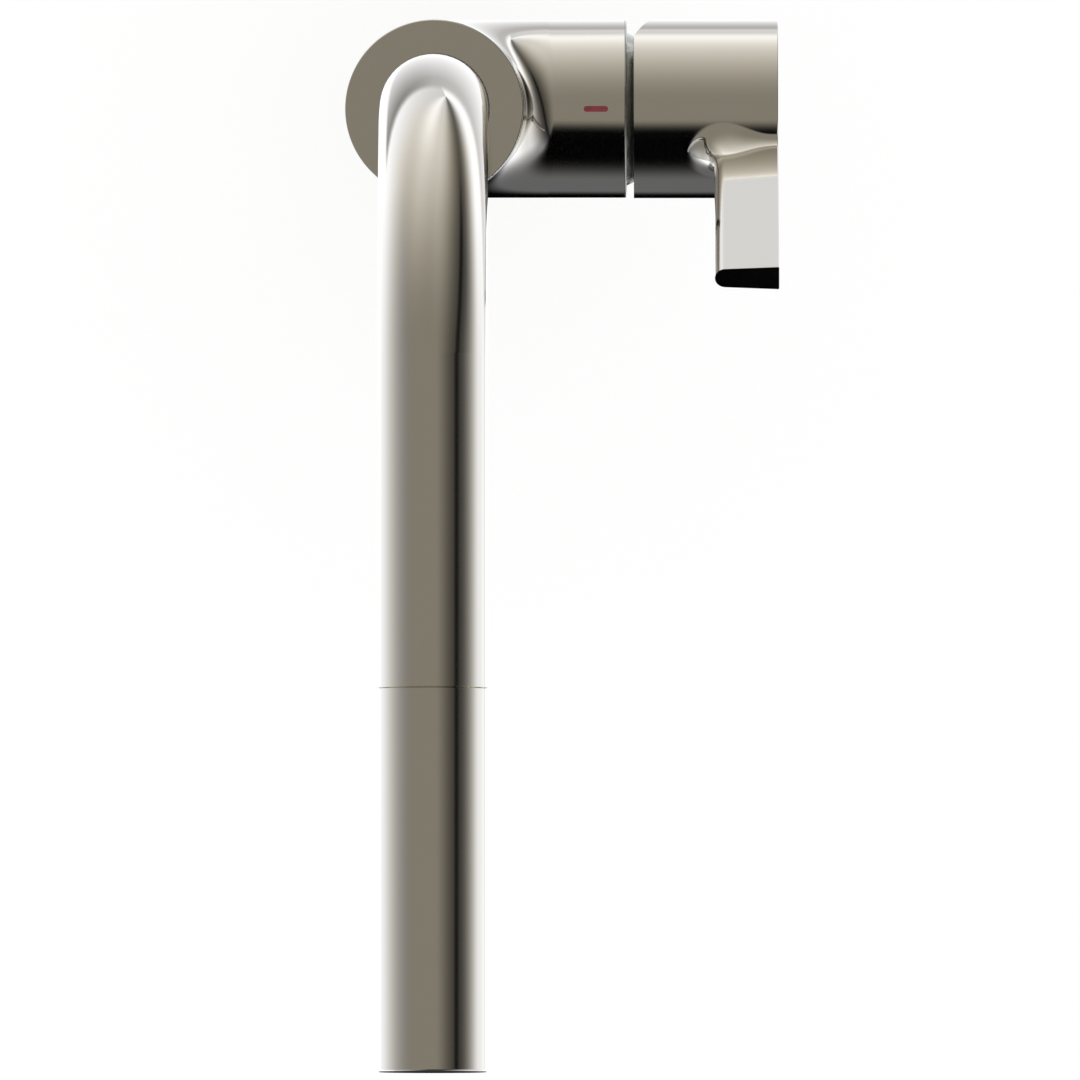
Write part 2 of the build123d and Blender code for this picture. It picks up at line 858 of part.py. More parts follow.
def cartridge_base():
    """The black seat plate, with three ports, their seal pockets and two locating pins."""
    base = ring(cartridge_r - slip, 0, seat_x, fixed_z)
    pocket_r = seat_port_r + seal_w + 2 * slip
    for turns in (-1, 0, 1):
        at = to_seat(turns)
        base -= Pos(at.X, at.Y, 0) * ring(seat_port_r, 0, seat_x, fixed_z)
        base -= Pos(at.X, at.Y, 0) * ring(pocket_r, 0, seat_x, seat_x + seal_pocket_h)
    base = branch * base
    for side in (-1, 1):
        base += locating_pin(side, 0, 0)
    return base


def cartridge_seals():
    """Three rubber rings, one round each port of the seat."""
    seal = ring(seat_port_r + seal_w, seat_port_r, seat_x, seat_x + seal_pocket_h)
    places = [to_seat(turns) for turns in (-1, 0, 1)]
    return Compound(children=[branch * Pos(at.X, at.Y, 0) * seal for at in places])


def fixed_ceramic_disc():
    """The lapped disc that stays on the seat, with a curved way over each port."""
    disc = ring(housing_bore_r - slip, 0, fixed_z, fixed_z + fixed_disc_h)
    way = extrude(SlotOverall(slot_length, slot_width), fixed_disc_h)
    for turns in (-1, 0, 1):
        at = to_seat(turns)
        bearing = degrees(atan2(at.Y, at.X)) + 90
        disc -= Pos(at.X, at.Y, fixed_z) * Rot(0, 0, bearing) * way
    return branch * disc


def moving_ceramic_disc():
    """The lapped disc that slides on the fixed one, with a mixing chamber in its face."""
    disc = ring(moving_disc_r, 0, moving_z, moving_z + moving_disc_h)
    disc -= ring(moving_disc_r * chamber_share, 0, moving_z, moving_z + chamber_depth)
    return branch * (Pos(-disc_travel / 2, 0, 0) * disc)


def disc_slider():
    """The carrier that takes the stem's ball and drags the moving disc."""
    pocket_r = ball_r + ball_play
    carrier = ring(moving_disc_r - slider_step, 0, slider_z, slider_top)
    carrier = Pos(-disc_travel / 2, 0, 0) * carrier
    return branch * (carrier - ring(pocket_r, 0, ball_z - pocket_r, slider_top))


def cross_pin(radius, length):
    """A pin through the stem's pivot, square to the lever."""
    return Pos(0, 0, pivot_x) * Rot(90, 0, 0) * Cylinder(radius, length)


def cartridge_rotor():
    """The turning carrier of the stem: a flange under the cover and a neck through it."""
    flange = ring(housing_bore_r - 2 * slip, 0, rotor_z, cover_z - 2 * slip)
    neck = ring(rotor_neck_r - slip, 0, rotor_z, rotor_top)
    swing = (pivot_x - rotor_z) * tan(radians(open_angle))
    back = -stem_side / 2 - 2 * slot_margin
    front = swing + tail_r + slot_margin
    slot = Box(front - back, stem_side + 2 * stem_room, rotor_top - rotor_z)
    slot = Pos((front + back) / 2, 0, (rotor_z + rotor_top) / 2) * slot
    return branch * (flange + neck - slot - cross_pin(pivot_pin_r + pin_play, 3 * rotor_neck_r))


def pivot_pin():
    return branch * cross_pin(pivot_pin_r, 2 * (rotor_neck_r - pin_short))


def cartridge_housing():
    """The plastic shell round the discs, with a collar that guides the rotor's neck."""
    outer = cartridge_r - slip
    return branch * turned(
        [
            (housing_bore_r, fixed_z),
            (outer, fixed_z),
            (outer, shoulder_z),
            (collar_r, shoulder_z),
            (collar_r, collar_top),
            (rotor_neck_r, collar_top),
            (rotor_neck_r, cover_z),
            (housing_bore_r, cover_z),
        ]
    )


def cartridge_stem():
    """The steel stem: a square shaft above the pivot and a ball below it."""
    foot = pivot_x - stem_side / 2
    top = cap_floor - 1.0
    shaft = Pos(0, 0, (foot + top) / 2) * Box(stem_side, stem_side, top - foot)
    shaft = chamfer(shaft.edges().group_by(Axis.Z)[-1], stem_bevel)
    tail = ring(tail_r, 0, ball_z, pivot_x)
    ball = Pos(0, 0, ball_z) * Sphere(ball_r)
    return branch * (shaft + tail + ball - cross_pin(pivot_pin_r + slip, 2 * stem_side))


def cartridge_nut():
    """The brass nut that presses on the cartridge's shoulder, with a hexagon for the spanner."""
    hex_z = branch_reach + nut_collar_h
    hex_top = pivot_x + sqrt(dome_bore_r**2 - hex_corner_r**2) - hex_headroom
    nut = ring(nut_thread_r, 0, shoulder_z, branch_reach)
    nut += ring(dome_bore_r - dome_seat, 0, branch_reach, hex_z)
    nut += Pos(0, 0, hex_z) * extrude(RegularPolygon(hex_corner_r, 6), hex_top - hex_z)
    return branch * (nut - ring(collar_r + rod_play, 0, shoulder_z, hex_top))


def neck_dome():
    """The dome over the nut, round about the stem's pivot, with a thin rim on the branch's end."""
    mouth_z = pivot_x + sqrt(dome_r**2 - dome_mouth_r**2)
    rim_top = branch_reach + dome_rim_h
    dome = ring(dome_r, 0, pivot_x, mouth_z) & (Pos(0, 0, pivot_x) * Sphere(dome_r))
    dome += ring(dome_r, 0, branch_reach, pivot_x)
    rim = ring(branch_r, 0, branch_reach, rim_top)
    dome += fillet(rim.edges().sort_by(Axis.Z)[-1], dome_rim_round)
    groove = turned(
        [
            (dome_r, rim_top),
            (dome_r - dome_groove, cap_start),
            (dome_r, cap_start + dome_groove_l),
            (cap_r, cap_start + dome_groove_l),
            (cap_r, rim_top),
        ]
    )
    dome -= groove
    dome -= Pos(0, 0, pivot_x) * Sphere(dome_bore_r)
    dome -= ring(dome_bore_r, 0, branch_reach, pivot_x)
    return branch * (dome - ring(dome_mouth_r, 0, pivot_x, mouth_z))


# Lever handle


def lever_blade():
    """A bar with one round edge, thicker towards the cap's end face, along the lever."""
    edge_r = lever_edge_t / 2
    edge_z = cap_end - lever_width + edge_r
    round_edge = Pos(0, edge_z) * CenterArc((0, 0), edge_r, 0, 360)
    end_line = Line((-lever_face_t / 2, cap_end), (lever_face_t / 2, cap_end))
    section = make_hull([round_edge.edge(), end_line.edge()])
    across = Plane(origin=(0, 0, 0), x_dir=(0, 1, 0), z_dir=(1, 0, 0))
    return across * extrude(section, lever_length)


def across_lever(solid):
    """Turns what is drawn about Z to point away from the lever, at the grub screw's height."""
    return Pos(0, 0, grub_z) * Rot(0, -90, 0) * solid


def relief_cut():
    """The slanted cut at the cap's back that lets it tilt over the branch."""
    far = -cap_d
    wedge = Polyline(
        (relief_start, cap_start),
        (far, cap_start + (relief_start - far) * tan(radians(relief_angle))),
        (far, 0),
        (relief_start, 0),
        close=True,
    )
    return extrude(Plane.XZ * make_face(wedge), cap_d, both=True)


def lever_handle():
    """The cap with its lever, blended at the root, and a boss inside that takes the stem."""
    cap = ring(cap_r, 0, cap_start, cap_end)
    handle = cap + (lever_blade() - ring(thin_r, 0, 0, cap_end + 1))
    root = [e for e in handle.edges() if e.geom_type not in (GeomType.CIRCLE, GeomType.LINE)]
    handle = fillet(root, lever_blend)
    end_face = handle.faces().sort_by(Axis.Z)[-1]
    handle = fillet(end_face.outer_wire().edges(), cap_edge)
    handle -= ring(thin_r, 0, cap_start, cap_floor)
    handle += ring(boss_r, 0, boss_end, cap_floor)
    lug = across_lever(ring(grub_r + lug_wall, 0, 0, cap_r - 1))
    handle += lug & ring(cap_r - 1, 0, lug_end, cap_end - 1)
    socket = stem_side + 2 * stem_play
    socket_l = cap_floor - socket_land - boss_end
    handle -= Pos(0, 0, boss_end + socket_l / 2) * Box(socket, socket, socket_l)
    handle -= across_lever(ring(grub_r + slip, 0, 0, cap_d))
    handle -= across_lever(ring(plug_r + slip, 0, cap_r - plug_h, cap_d))
    return branch * (handle - relief_cut())


def grub_screw():
    """The set screw that grips the stem, with a hexagon socket."""
    start = stem_side / 2
    end = start + grub_length
    screw = ring(grub_r, 0, start, end)
    screw -= Pos(0, 0, end - grub_key_depth) * extrude(RegularPolygon(grub_key, 6), grub_key_depth)
    return branch * across_lever(screw)


def screw_plug():
    plug = across_lever(ring(plug_r, 0, cap_r - plug_h, cap_d))
    return branch * (plug & ring(cap_r, 0, cap_start, cap_end))


pieces = {
    "foot_ring": foot_ring,
    "foot_gasket": foot_gasket,
    "body_casting": body_casting,
    "hot_mark": lambda: branch_mark(0),
    "cold_mark": lambda: branch_mark(90),
    "top_ring": top_ring,
    "upper_glide_ring": upper_glide_ring,
    "thrust_washer": thrust_washer,
    "lower_glide_ring": lower_glide_ring,
    "mounting_shank": mounting_shank,
    "deck_washer": deck_washer,
    "clamp_washer": clamp_washer,
    "mounting_nut": mounting_nut,
    "spout_tube": spout_tube,
    "swivel_sleeve": swivel_sleeve,
    "spout_oring": spout_oring,
    "hose_guide": hose_guide,
    "spray_hose": spray_hose,
    "hose_tail": hose_tail,
    "dock_socket": dock_socket,
    "hose_seal": hose_seal,
    "hose_ferrule": hose_ferrule,
    "hose_nut": hose_nut,
    "head_inlet": head_inlet,
    "dock_oring": dock_oring,
    "check_valve_body": check_valve_body,
    "check_valve_poppet": check_valve_poppet,
    "check_valve_spring": check_valve_spring,
    "head_shell": head_shell,
    "head_end_cap": head_end_cap,
    "waterway": waterway,
    "aerator_seal": aerator_seal,
    "aerator_housing": aerator_housing,
    "aerator_insert": aerator_insert,
    "cartridge_base": cartridge_base,
    "cartridge_seals": cartridge_seals,
    "fixed_ceramic_disc": fixed_ceramic_disc,
    "moving_ceramic_disc": moving_ceramic_disc,
    "disc_slider": disc_slider,
    "cartridge_rotor": cartridge_rotor,
    "pivot_pin": pivot_pin,
    "cartridge_housing": cartridge_housing,
    "cartridge_stem": cartridge_stem,
    "cartridge_nut": cartridge_nut,
    "neck_dome": neck_dome,
    "lever_handle": lever_handle,
    "grub_screw": grub_screw,
    "screw_plug": screw_plug,
}

os.makedirs("parts", exist_ok=True)
for name, make in pieces.items():
    export_step(make(), f"parts/{name}.step")

print("swivel axis at the centre of the foot, branch axis at height", branch_z)
print("pivot", pivot_x, "disc travel", round(disc_travel, 3))
print("seam", seam, "arm direction", arm_way, "head length", round(head_l, 3))
print("ports", [port_point(turns, socket_top) for turns in (-1, 0, 1)])
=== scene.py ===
# %% [markdown]
# # A pull-out sink faucet in polished nickel
# The faucet's solids come ready made, in metres, with their joints. This script gives each of them
# its finish, adds the fine forms that a solid model leaves out, such as threads and the braid of the
# hose, and builds the small studio that the polished metal mirrors.

# %% The frame
import json
import math

import bmesh
import bpy
import numpy as np
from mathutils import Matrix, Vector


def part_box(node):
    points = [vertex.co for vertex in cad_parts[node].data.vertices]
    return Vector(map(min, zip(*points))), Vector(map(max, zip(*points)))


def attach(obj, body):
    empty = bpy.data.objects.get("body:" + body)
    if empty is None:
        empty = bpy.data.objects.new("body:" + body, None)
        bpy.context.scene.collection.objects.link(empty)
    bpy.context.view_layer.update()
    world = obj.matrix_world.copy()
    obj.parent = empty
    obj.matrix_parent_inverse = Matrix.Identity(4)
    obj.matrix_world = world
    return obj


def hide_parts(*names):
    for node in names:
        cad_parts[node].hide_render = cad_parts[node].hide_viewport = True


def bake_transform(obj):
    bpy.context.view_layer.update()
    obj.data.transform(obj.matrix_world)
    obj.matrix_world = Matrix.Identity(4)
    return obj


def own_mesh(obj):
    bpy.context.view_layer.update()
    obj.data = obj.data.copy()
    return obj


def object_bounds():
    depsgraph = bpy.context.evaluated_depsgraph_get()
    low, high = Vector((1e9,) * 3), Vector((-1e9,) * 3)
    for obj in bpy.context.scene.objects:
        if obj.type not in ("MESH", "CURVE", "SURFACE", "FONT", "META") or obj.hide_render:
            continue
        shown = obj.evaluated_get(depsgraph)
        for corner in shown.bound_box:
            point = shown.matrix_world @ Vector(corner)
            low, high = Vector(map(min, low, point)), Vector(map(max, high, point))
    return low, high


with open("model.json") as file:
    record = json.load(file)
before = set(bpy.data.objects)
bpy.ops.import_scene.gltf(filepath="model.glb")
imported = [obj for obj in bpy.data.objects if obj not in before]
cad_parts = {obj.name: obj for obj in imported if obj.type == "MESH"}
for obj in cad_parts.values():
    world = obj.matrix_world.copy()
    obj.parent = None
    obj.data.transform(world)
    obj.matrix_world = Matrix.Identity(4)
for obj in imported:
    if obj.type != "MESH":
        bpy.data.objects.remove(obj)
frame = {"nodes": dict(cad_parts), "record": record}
cad_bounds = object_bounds()
nodes = frame["nodes"]

MM = 0.001

# %% [markdown]
# ## The camera
# The photograph looks straight down with no perspective at all. An extremely long lens from far above
# comes closest to that and still lets other views frame the whole faucet. The camera stands over a
# point between the spout and the lever, so that neither the riser nor the cap shows its side.

# %% Camera
PIXEL = 0.2544 * MM  # one pixel of the photograph, on the faucet
FRAME_PIXELS = 1080
AXIS_PIXEL = np.array([432.7, 107.9])  # where the photograph shows the spout's swivel axis
ARM_HEIGHT = 0.249
LENS, SENSOR = 1650.0, 36.0
CAMERA_FOOT = np.array([0.035, -0.020])


def from_pixel(x, y):
    """The plan place, in metres, of a pixel of the photograph."""
    return np.array([x - AXIS_PIXEL[0], AXIS_PIXEL[1] - y]) * PIXEL


def add_camera():
    """A long-lens camera above the faucet that aims at the middle of the photograph's frame."""
    distance = FRAME_PIXELS * PIXEL * LENS / SENSOR
    toward_x, toward_y = from_pixel(FRAME_PIXELS / 2, FRAME_PIXELS / 2) - CAMERA_FOOT
    data = bpy.data.cameras.new("camera")
    data.lens, data.sensor_width = LENS, SENSOR
    data.clip_start, data.clip_end = 1.0, 40.0
    made = bpy.data.objects.new("camera", data)
    bpy.context.scene.collection.objects.link(made)
    made.location = (*CAMERA_FOOT, ARM_HEIGHT + distance)
    made.rotation_euler = (math.atan2(toward_y, distance), -math.atan2(toward_x, distance), 0.0)
    bpy.context.scene.camera = made
    return made


camera = add_camera()
bpy.context.scene.view_settings.view_transform = "Standard"
print("camera height", round(camera.location.z, 3))

# %% [markdown]
# ## Working with shader nodes
# A procedural finish is a formula, and in Blender each plus or sine of it is a node. The small class
# below lets Python write such a formula as it is written on paper, and adds the nodes by itself.

# %% Node formulas


class Wire:
    """A number on its way through a node tree. Arithmetic on it adds Math nodes."""

    def __init__(self, tree, socket):
        self.tree, self.socket = tree, socket

    def math(self, operation, *others, clamp=False):
        made = self.tree.nodes.new("ShaderNodeMath")
        made.operation, made.use_clamp = operation, clamp
        for place, value in enumerate((self, *others)):
            plug(self.tree, made.inputs[place], value)
        return Wire(self.tree, made.outputs[0])

    def __add__(self, other):
        return self.math("ADD", other)

    def __sub__(self, other):
        return self.math("SUBTRACT", other)

    def __mul__(self, other):
        return self.math("MULTIPLY", other)

    def __truediv__(self, other):
        return self.math("DIVIDE", other)

    __radd__, __rmul__ = __add__, __mul__

    def __rsub__(self, other):
        return (self * -1.0) + other

    def __neg__(self):
        return self * -1.0

    def power(self, other):
        return self.math("POWER", other)

    def root(self):
        return self.math("SQRT")

    def size(self):
        return self.math("ABSOLUTE")

    def sine(self):
        return self.math("SINE")

    def degrees(self):
        return self.math("DEGREES")


def plug(tree, socket, value):
    """Links a wire to a socket, or sets the socket to a plain value."""
    if isinstance(value, Wire):
        tree.links.new(value.socket, socket)
    else:
        socket.default_value = value


def add_node(tree, kind, settings=None, **inputs):
    """A node of that kind with its settings, and its inputs linked or set by name."""
    made = tree.nodes.new(kind)
    for name, value in (settings or {}).items():
        setattr(made, name, value)
    for name, value in inputs.items():
        plug(tree, made.inputs[name.replace("_", " ")], value)
    return made


def ramp(value, start, end, soft=True):
    """0 before start and 1 after end, with a smooth or a straight rise between them."""
    made = value.tree.nodes.new("ShaderNodeMapRange")
    made.interpolation_type = "SMOOTHSTEP" if soft else "LINEAR"
    made.clamp = True
    for name, number in (("From Min", start), ("From Max", end), ("To Min", 0.0), ("To Max", 1.0)):
        made.inputs[name].default_value = number
    plug(value.tree, made.inputs["Value"], value)
    return Wire(value.tree, made.outputs["Result"])


def mix(low, high, share):
    """low where share is 0 and high where it is 1."""
    if isinstance(low, Wire):
        return low + share * (high - low)
    return share * (high - low) + low


def axis_wires(tree, vector_socket):
    """The three numbers of a vector socket, as wires."""
    split = tree.nodes.new("ShaderNodeSeparateXYZ")
    tree.links.new(vector_socket, split.inputs[0])
    return [Wire(tree, out) for out in split.outputs]


def along(xyz, direction):
    """The dot product of three wires with a fixed direction."""
    x, y, z = xyz
    return x * float(direction[0]) + y * float(direction[1]) + z * float(direction[2])


# %% [markdown]
# ## The studio
# Polished nickel has hardly a colour of its own: nearly all that the eye sees is the room in it. The
# photograph's faucet mirrors a studio of white walls, a grey ceiling, a dark edge and a black flag in
# front. The walls' edges are straight lines that meet, as seen from the faucet, at one low point
# behind it, so the room is written as bands by the angle round that point. Only mirror rays see the
# bands. The camera sees plain white, and matt surfaces get plain, even light.

# %% Studio directions


def unit(*vector):
    vector = np.array(vector, float)
    return vector / np.linalg.norm(vector)


LOW_BACK = unit(0.27, 1.0, -0.64)  # the point where the walls' edges meet
ROUND_X = unit(*(np.array([1.0, 0.0, 0.0]) - LOW_BACK[0] * LOW_BACK))
ROUND_Y = np.cross(LOW_BACK, ROUND_X)


def turned_from(round_angle, centre):
    """How far an angle in degrees is from centre, the short way round, from -180 to 180."""
    return (round_angle - (centre - 180.0)).math("FLOORED_MODULO", 360.0) - 180.0


# %% Studio back and left
# Tones are display brightness from 0 to 1. A span is where a change starts and where it ends, here in
# degrees from the low point.
BACK_TONE, BACK_FALL, BACK_SPAN = 0.80, 0.33, (22.0, 112.0)
GLOW_ANGLE, GLOW_REACH, GLOW_GAIN = -127.0, 34.0, 0.17
GLOW_DIP, GLOW_DIP_SPAN, GLOW_END_SPAN = 0.6, (16.0, 50.0), (60.0, 120.0)
LEFT_ANGLE, LEFT_REACH, LEFT_START_SPAN = 105.0, (40.0, 120.0), (0.0, 50.0)
LEFT_FALL, LEFT_FALL_SPAN = 0.30, (66.0, 125.0)


def back_and_left(round_low, from_low):
    """A back sweep that dims with the angle from the low point, a glow in it, and a white wall on the
    left, each by the angle round the point."""
    bright = BACK_TONE - ramp(from_low, *BACK_SPAN) * BACK_FALL
    glow = 1.0 - ramp(turned_from(round_low, GLOW_ANGLE).size(), 0.0, GLOW_REACH)
    glow = glow * (1.0 - ramp(from_low, *GLOW_DIP_SPAN) * GLOW_DIP) * (1.0 - ramp(from_low, *GLOW_END_SPAN))
    bright = bright + glow * GLOW_GAIN
    left = 1.0 - ramp(turned_from(round_low, LEFT_ANGLE).size(), *LEFT_REACH)
    left = left * ramp(from_low, *LEFT_START_SPAN)
    return mix(bright, 1.0 - ramp(from_low, *LEFT_FALL_SPAN, soft=False) * LEFT_FALL, left)


# %% Studio right
EDGE_ANGLE, RIGHT_END = -33.0, 170.0  # where the dark edge stands, and how far past it the right goes
DARK_TONE, DARK_FALL, DARK_FALL_END = 0.337, 0.0023, 64.0  # the fall is for each degree, up to an end
DARK_START, DARK_WIDTH = 60.0, 71.0  # how far before the edge the dark starts to show
NARROW_START, NARROW_RATE = 60.0, 0.25
LINE_PLACE, LINE_HALF, LINE_DEPTH, LINE_SPAN = -0.6, 7.0, 0.5, (30.0, 60.0)
WHITE_START, WHITE_WIDTH = 3.0, 53.0
WIDEN_START, WIDEN_RATE = 25.0, 0.12
WHITE_FALL, WHITE_FALL_SPAN, WHITE_CLEAR_SPAN = 0.14, (45.0, 75.0), (60.0, 90.0)


def right(bright, round_low, from_low):
    """The dark edge with a thin line in it, and past it a white wall. Away from the low point the
    dark comes on in fewer degrees and the white in more."""
    past_edge = turned_from(round_low, EDGE_ANGLE)
    this_side = past_edge.math("LESS_THAN", RIGHT_END)
    narrowing = (from_low - NARROW_START).math("MAXIMUM", 0.0) * NARROW_RATE
    into_dark = ramp((past_edge + DARK_START - narrowing) / (DARK_WIDTH - narrowing), 0.0, 1.0)
    dark = DARK_TONE - from_low.math("MINIMUM", DARK_FALL_END) * DARK_FALL
    bright = mix(bright, dark, into_dark * this_side)
    thin_line = 1.0 - ramp((past_edge - LINE_PLACE).size(), 0.0, LINE_HALF)
    bright = bright * (1.0 - thin_line * ramp(from_low, *LINE_SPAN) * LINE_DEPTH)
    widening = (from_low - WIDEN_START).math("MAXIMUM", 0.0) * WIDEN_RATE
    into_white = ramp((past_edge + WHITE_START) / (widening + WHITE_WIDTH), 0.0, 1.0)
    falling = ramp(from_low, *WHITE_FALL_SPAN, soft=False) * (1.0 - ramp(past_edge, *WHITE_CLEAR_SPAN))
    return mix(bright, 1.0 - falling * WHITE_FALL, into_white * this_side)


# %% Studio floor
# The floor's places and spans are distances on it, as shares of the faucet's height above it.
FLOOR_TONE, FLOOR_FALL, FLOOR_FALL_END, FLOOR_MOST = 1.067, 0.373, 1.02, 0.96
FLOOR_LEFT_FALL, FLOOR_RIGHT_GAIN = 0.25, 0.09
DISC_X, DISC_Y, DISC_RIM = 0.05, 0.42, (0.80, 1.07)
CUT_SLANT, CUT_SPAN = 0.24, (0.13, 0.22)


def floor_disc(bright, x, y, z):
    """A round grey floor, seen in the plane under the faucet: its brightness falls with the distance
    from the point below, more to the left, and a straight edge cuts it off in front."""
    down = (-z).math("MAXIMUM", 0.0001)
    floor_x, floor_y = x / down, y / down
    reach = (floor_x * floor_x + floor_y * floor_y).root().math("MINIMUM", FLOOR_FALL_END)
    tone = FLOOR_TONE - reach * FLOOR_FALL - (-floor_x).math("MAXIMUM", 0.0) * FLOOR_LEFT_FALL
    tone = (tone + floor_x.math("MAXIMUM", 0.0) * FLOOR_RIGHT_GAIN).math("MINIMUM", FLOOR_MOST)
    from_x, from_y = floor_x - DISC_X, floor_y - DISC_Y
    inside = 1.0 - ramp((from_x * from_x + from_y * from_y).root(), *DISC_RIM)
    inside = inside * ramp(floor_y + floor_x * CUT_SLANT, *CUT_SPAN) * (-z).math("GREATER_THAN", 0.0)
    return mix(bright, tone, inside)


# %% Studio front
FRONT_SPAN, FLAG_SPAN = (0.675, 1.0), (0.888, 0.995)  # by how squarely a direction faces the front
GREY_TONE, GREY_RISE = 0.378, (45.0, 75.0)
BLACK_TONE, BLACK_RISE = 0.03, (133.0, 156.0)
FLAG_DARK, FLAG_RISE, FLAG_LAST_RISE, FLAG_END = 0.92, (13.0, 34.0), (34.0, 52.0), (60.0, 108.0)


def facing_front(x, y):
    """How squarely a direction faces the user's side: 1 straight at it and -1 straight away."""
    return -y / ((x * x + y * y).root() + 0.000001)


def front(bright, x, y, z):
    """The dim side that the faucet's user stands on: grey at eye level, black near the floor, and a
    black flag above, with its angles counted down from straight up."""
    ahead, from_top = facing_front(x, y), z.math("ARCCOSINE").degrees()
    side = ramp(ahead, *FRONT_SPAN)
    bright = mix(bright, GREY_TONE, side * ramp(from_top, *GREY_RISE))
    bright = mix(bright, BLACK_TONE, side * ramp(from_top, *BLACK_RISE))
    flag = ramp(from_top, *FLAG_RISE) * FLAG_DARK + ramp(from_top, *FLAG_LAST_RISE) * (1.0 - FLAG_DARK)
    flag = flag * (1.0 - ramp(from_top, *FLAG_END))
    return bright * (1.0 - ramp(ahead, *FLAG_SPAN) * flag)


def studio_brightness(xyz):
    """Display brightness by direction: the walls, then the floor over them, then the front."""
    from_low = along(xyz, LOW_BACK).math("ARCCOSINE").degrees()
    round_low = along(xyz, ROUND_Y).math("ARCTAN2", along(xyz, ROUND_X)).degrees()
    walls = right(back_and_left(round_low, from_low), round_low, from_low)
    return front(floor_disc(walls, *xyz), *xyz)


# %% Studio colour
WARM = (0.12, 0.0, -0.22)  # how much more red and less blue the dim, warm walls send
NICKEL_SHOWS = (0.86, 0.84, 0.80)  # the share of each colour that nickel sends back
DISPLAY_POWER = 2.2
WARM_SPAN = (0.45, 1.25)  # brightness from which the warmth fades, and where it would be gone
LOW_WARMTH, LOW_SPAN = 0.25, (-0.60, -0.15)
SIDE_LOSS, SIDE_SPAN = 0.45, (0.60, 1.0)
AHEAD_LOSS, AHEAD_SPAN, AHEAD_RISE = 0.85, (0.30, 0.90), (20.0, 40.0)


def warm_light(tree, bright, x, y, z):
    """Light of that display brightness, warmer where it is dim and high up, less so at the sides, and
    neutral in front and low down, divided by what nickel sends back."""
    light = bright.power(DISPLAY_POWER)
    warmth = 1.0 - ramp(bright, *WARM_SPAN, soft=False)
    warmth = warmth * mix(LOW_WARMTH, 1.0, ramp(z, *LOW_SPAN))
    warmth = warmth * (1.0 - ramp(x.size(), *SIDE_SPAN) * SIDE_LOSS)
    from_top = z.math("ARCCOSINE").degrees()
    in_front = ramp(facing_front(x, y), *AHEAD_SPAN) * ramp(from_top, *AHEAD_RISE)
    warmth = warmth * (1.0 - in_front * AHEAD_LOSS)
    colour = add_node(tree, "ShaderNodeCombineColor")
    for channel, (tint, share) in enumerate(zip(WARM, NICKEL_SHOWS)):
        plug(tree, colour.inputs[channel], light * (warmth * tint + 1.0) / share)
    return Wire(tree, colour.outputs[0])


# %% World
WHITE, EVEN_LIGHT = (1.0, 1.0, 1.0, 1.0), 0.95


def build_world():
    """White to the camera, even light to matt surfaces, and the studio to metal and clear plastic."""
    world = bpy.data.worlds.new("studio")
    bpy.context.scene.world = world
    world.use_nodes = True
    tree = world.node_tree
    tree.nodes.clear()
    place = add_node(tree, "ShaderNodeTexCoord")
    xyz = axis_wires(tree, place.outputs["Generated"])
    bright = studio_brightness(xyz)
    colour = warm_light(tree, bright, *xyz)
    studio = add_node(tree, "ShaderNodeBackground", Color=colour)
    even = add_node(tree, "ShaderNodeBackground", Color=WHITE, Strength=EVEN_LIGHT)
    white = add_node(tree, "ShaderNodeBackground", Color=WHITE, Strength=1.0)
    rays = add_node(tree, "ShaderNodeLightPath")
    mirror = Wire(tree, rays.outputs["Is Glossy Ray"]) + Wire(tree, rays.outputs["Is Transmission Ray"])
    seen = tree.nodes.new("ShaderNodeMixShader")
    plug(tree, seen.inputs[0], mirror)
    tree.links.new(even.outputs[0], seen.inputs[1])
    tree.links.new(studio.outputs[0], seen.inputs[2])
    final = tree.nodes.new("ShaderNodeMixShader")
    plug(tree, final.inputs[0], Wire(tree, rays.outputs["Is Camera Ray"]))
    tree.links.new(seen.outputs[0], final.inputs[1])
    tree.links.new(white.outputs[0], final.inputs[2])
    out = add_node(tree, "ShaderNodeOutputWorld")
    tree.links.new(final.outputs[0], out.inputs[0])
    return tree


print("studio nodes", len(build_world().nodes))

# %% [markdown]
# ## The floor
# The faucet stands in a plain pale floor, level with its lowest point. The floor keeps a faint soft
# shadow. Mirror rays pass through it, because the floor that the metal shows is part of the studio.

# %% Floor
FLOOR_SIZE, FLOOR_GAP = 6.0, 0.5 * MM
PAPER_TONE, PAPER_LIFT = 0.42, 0.62  # what it sends back, and the light that it adds to look white


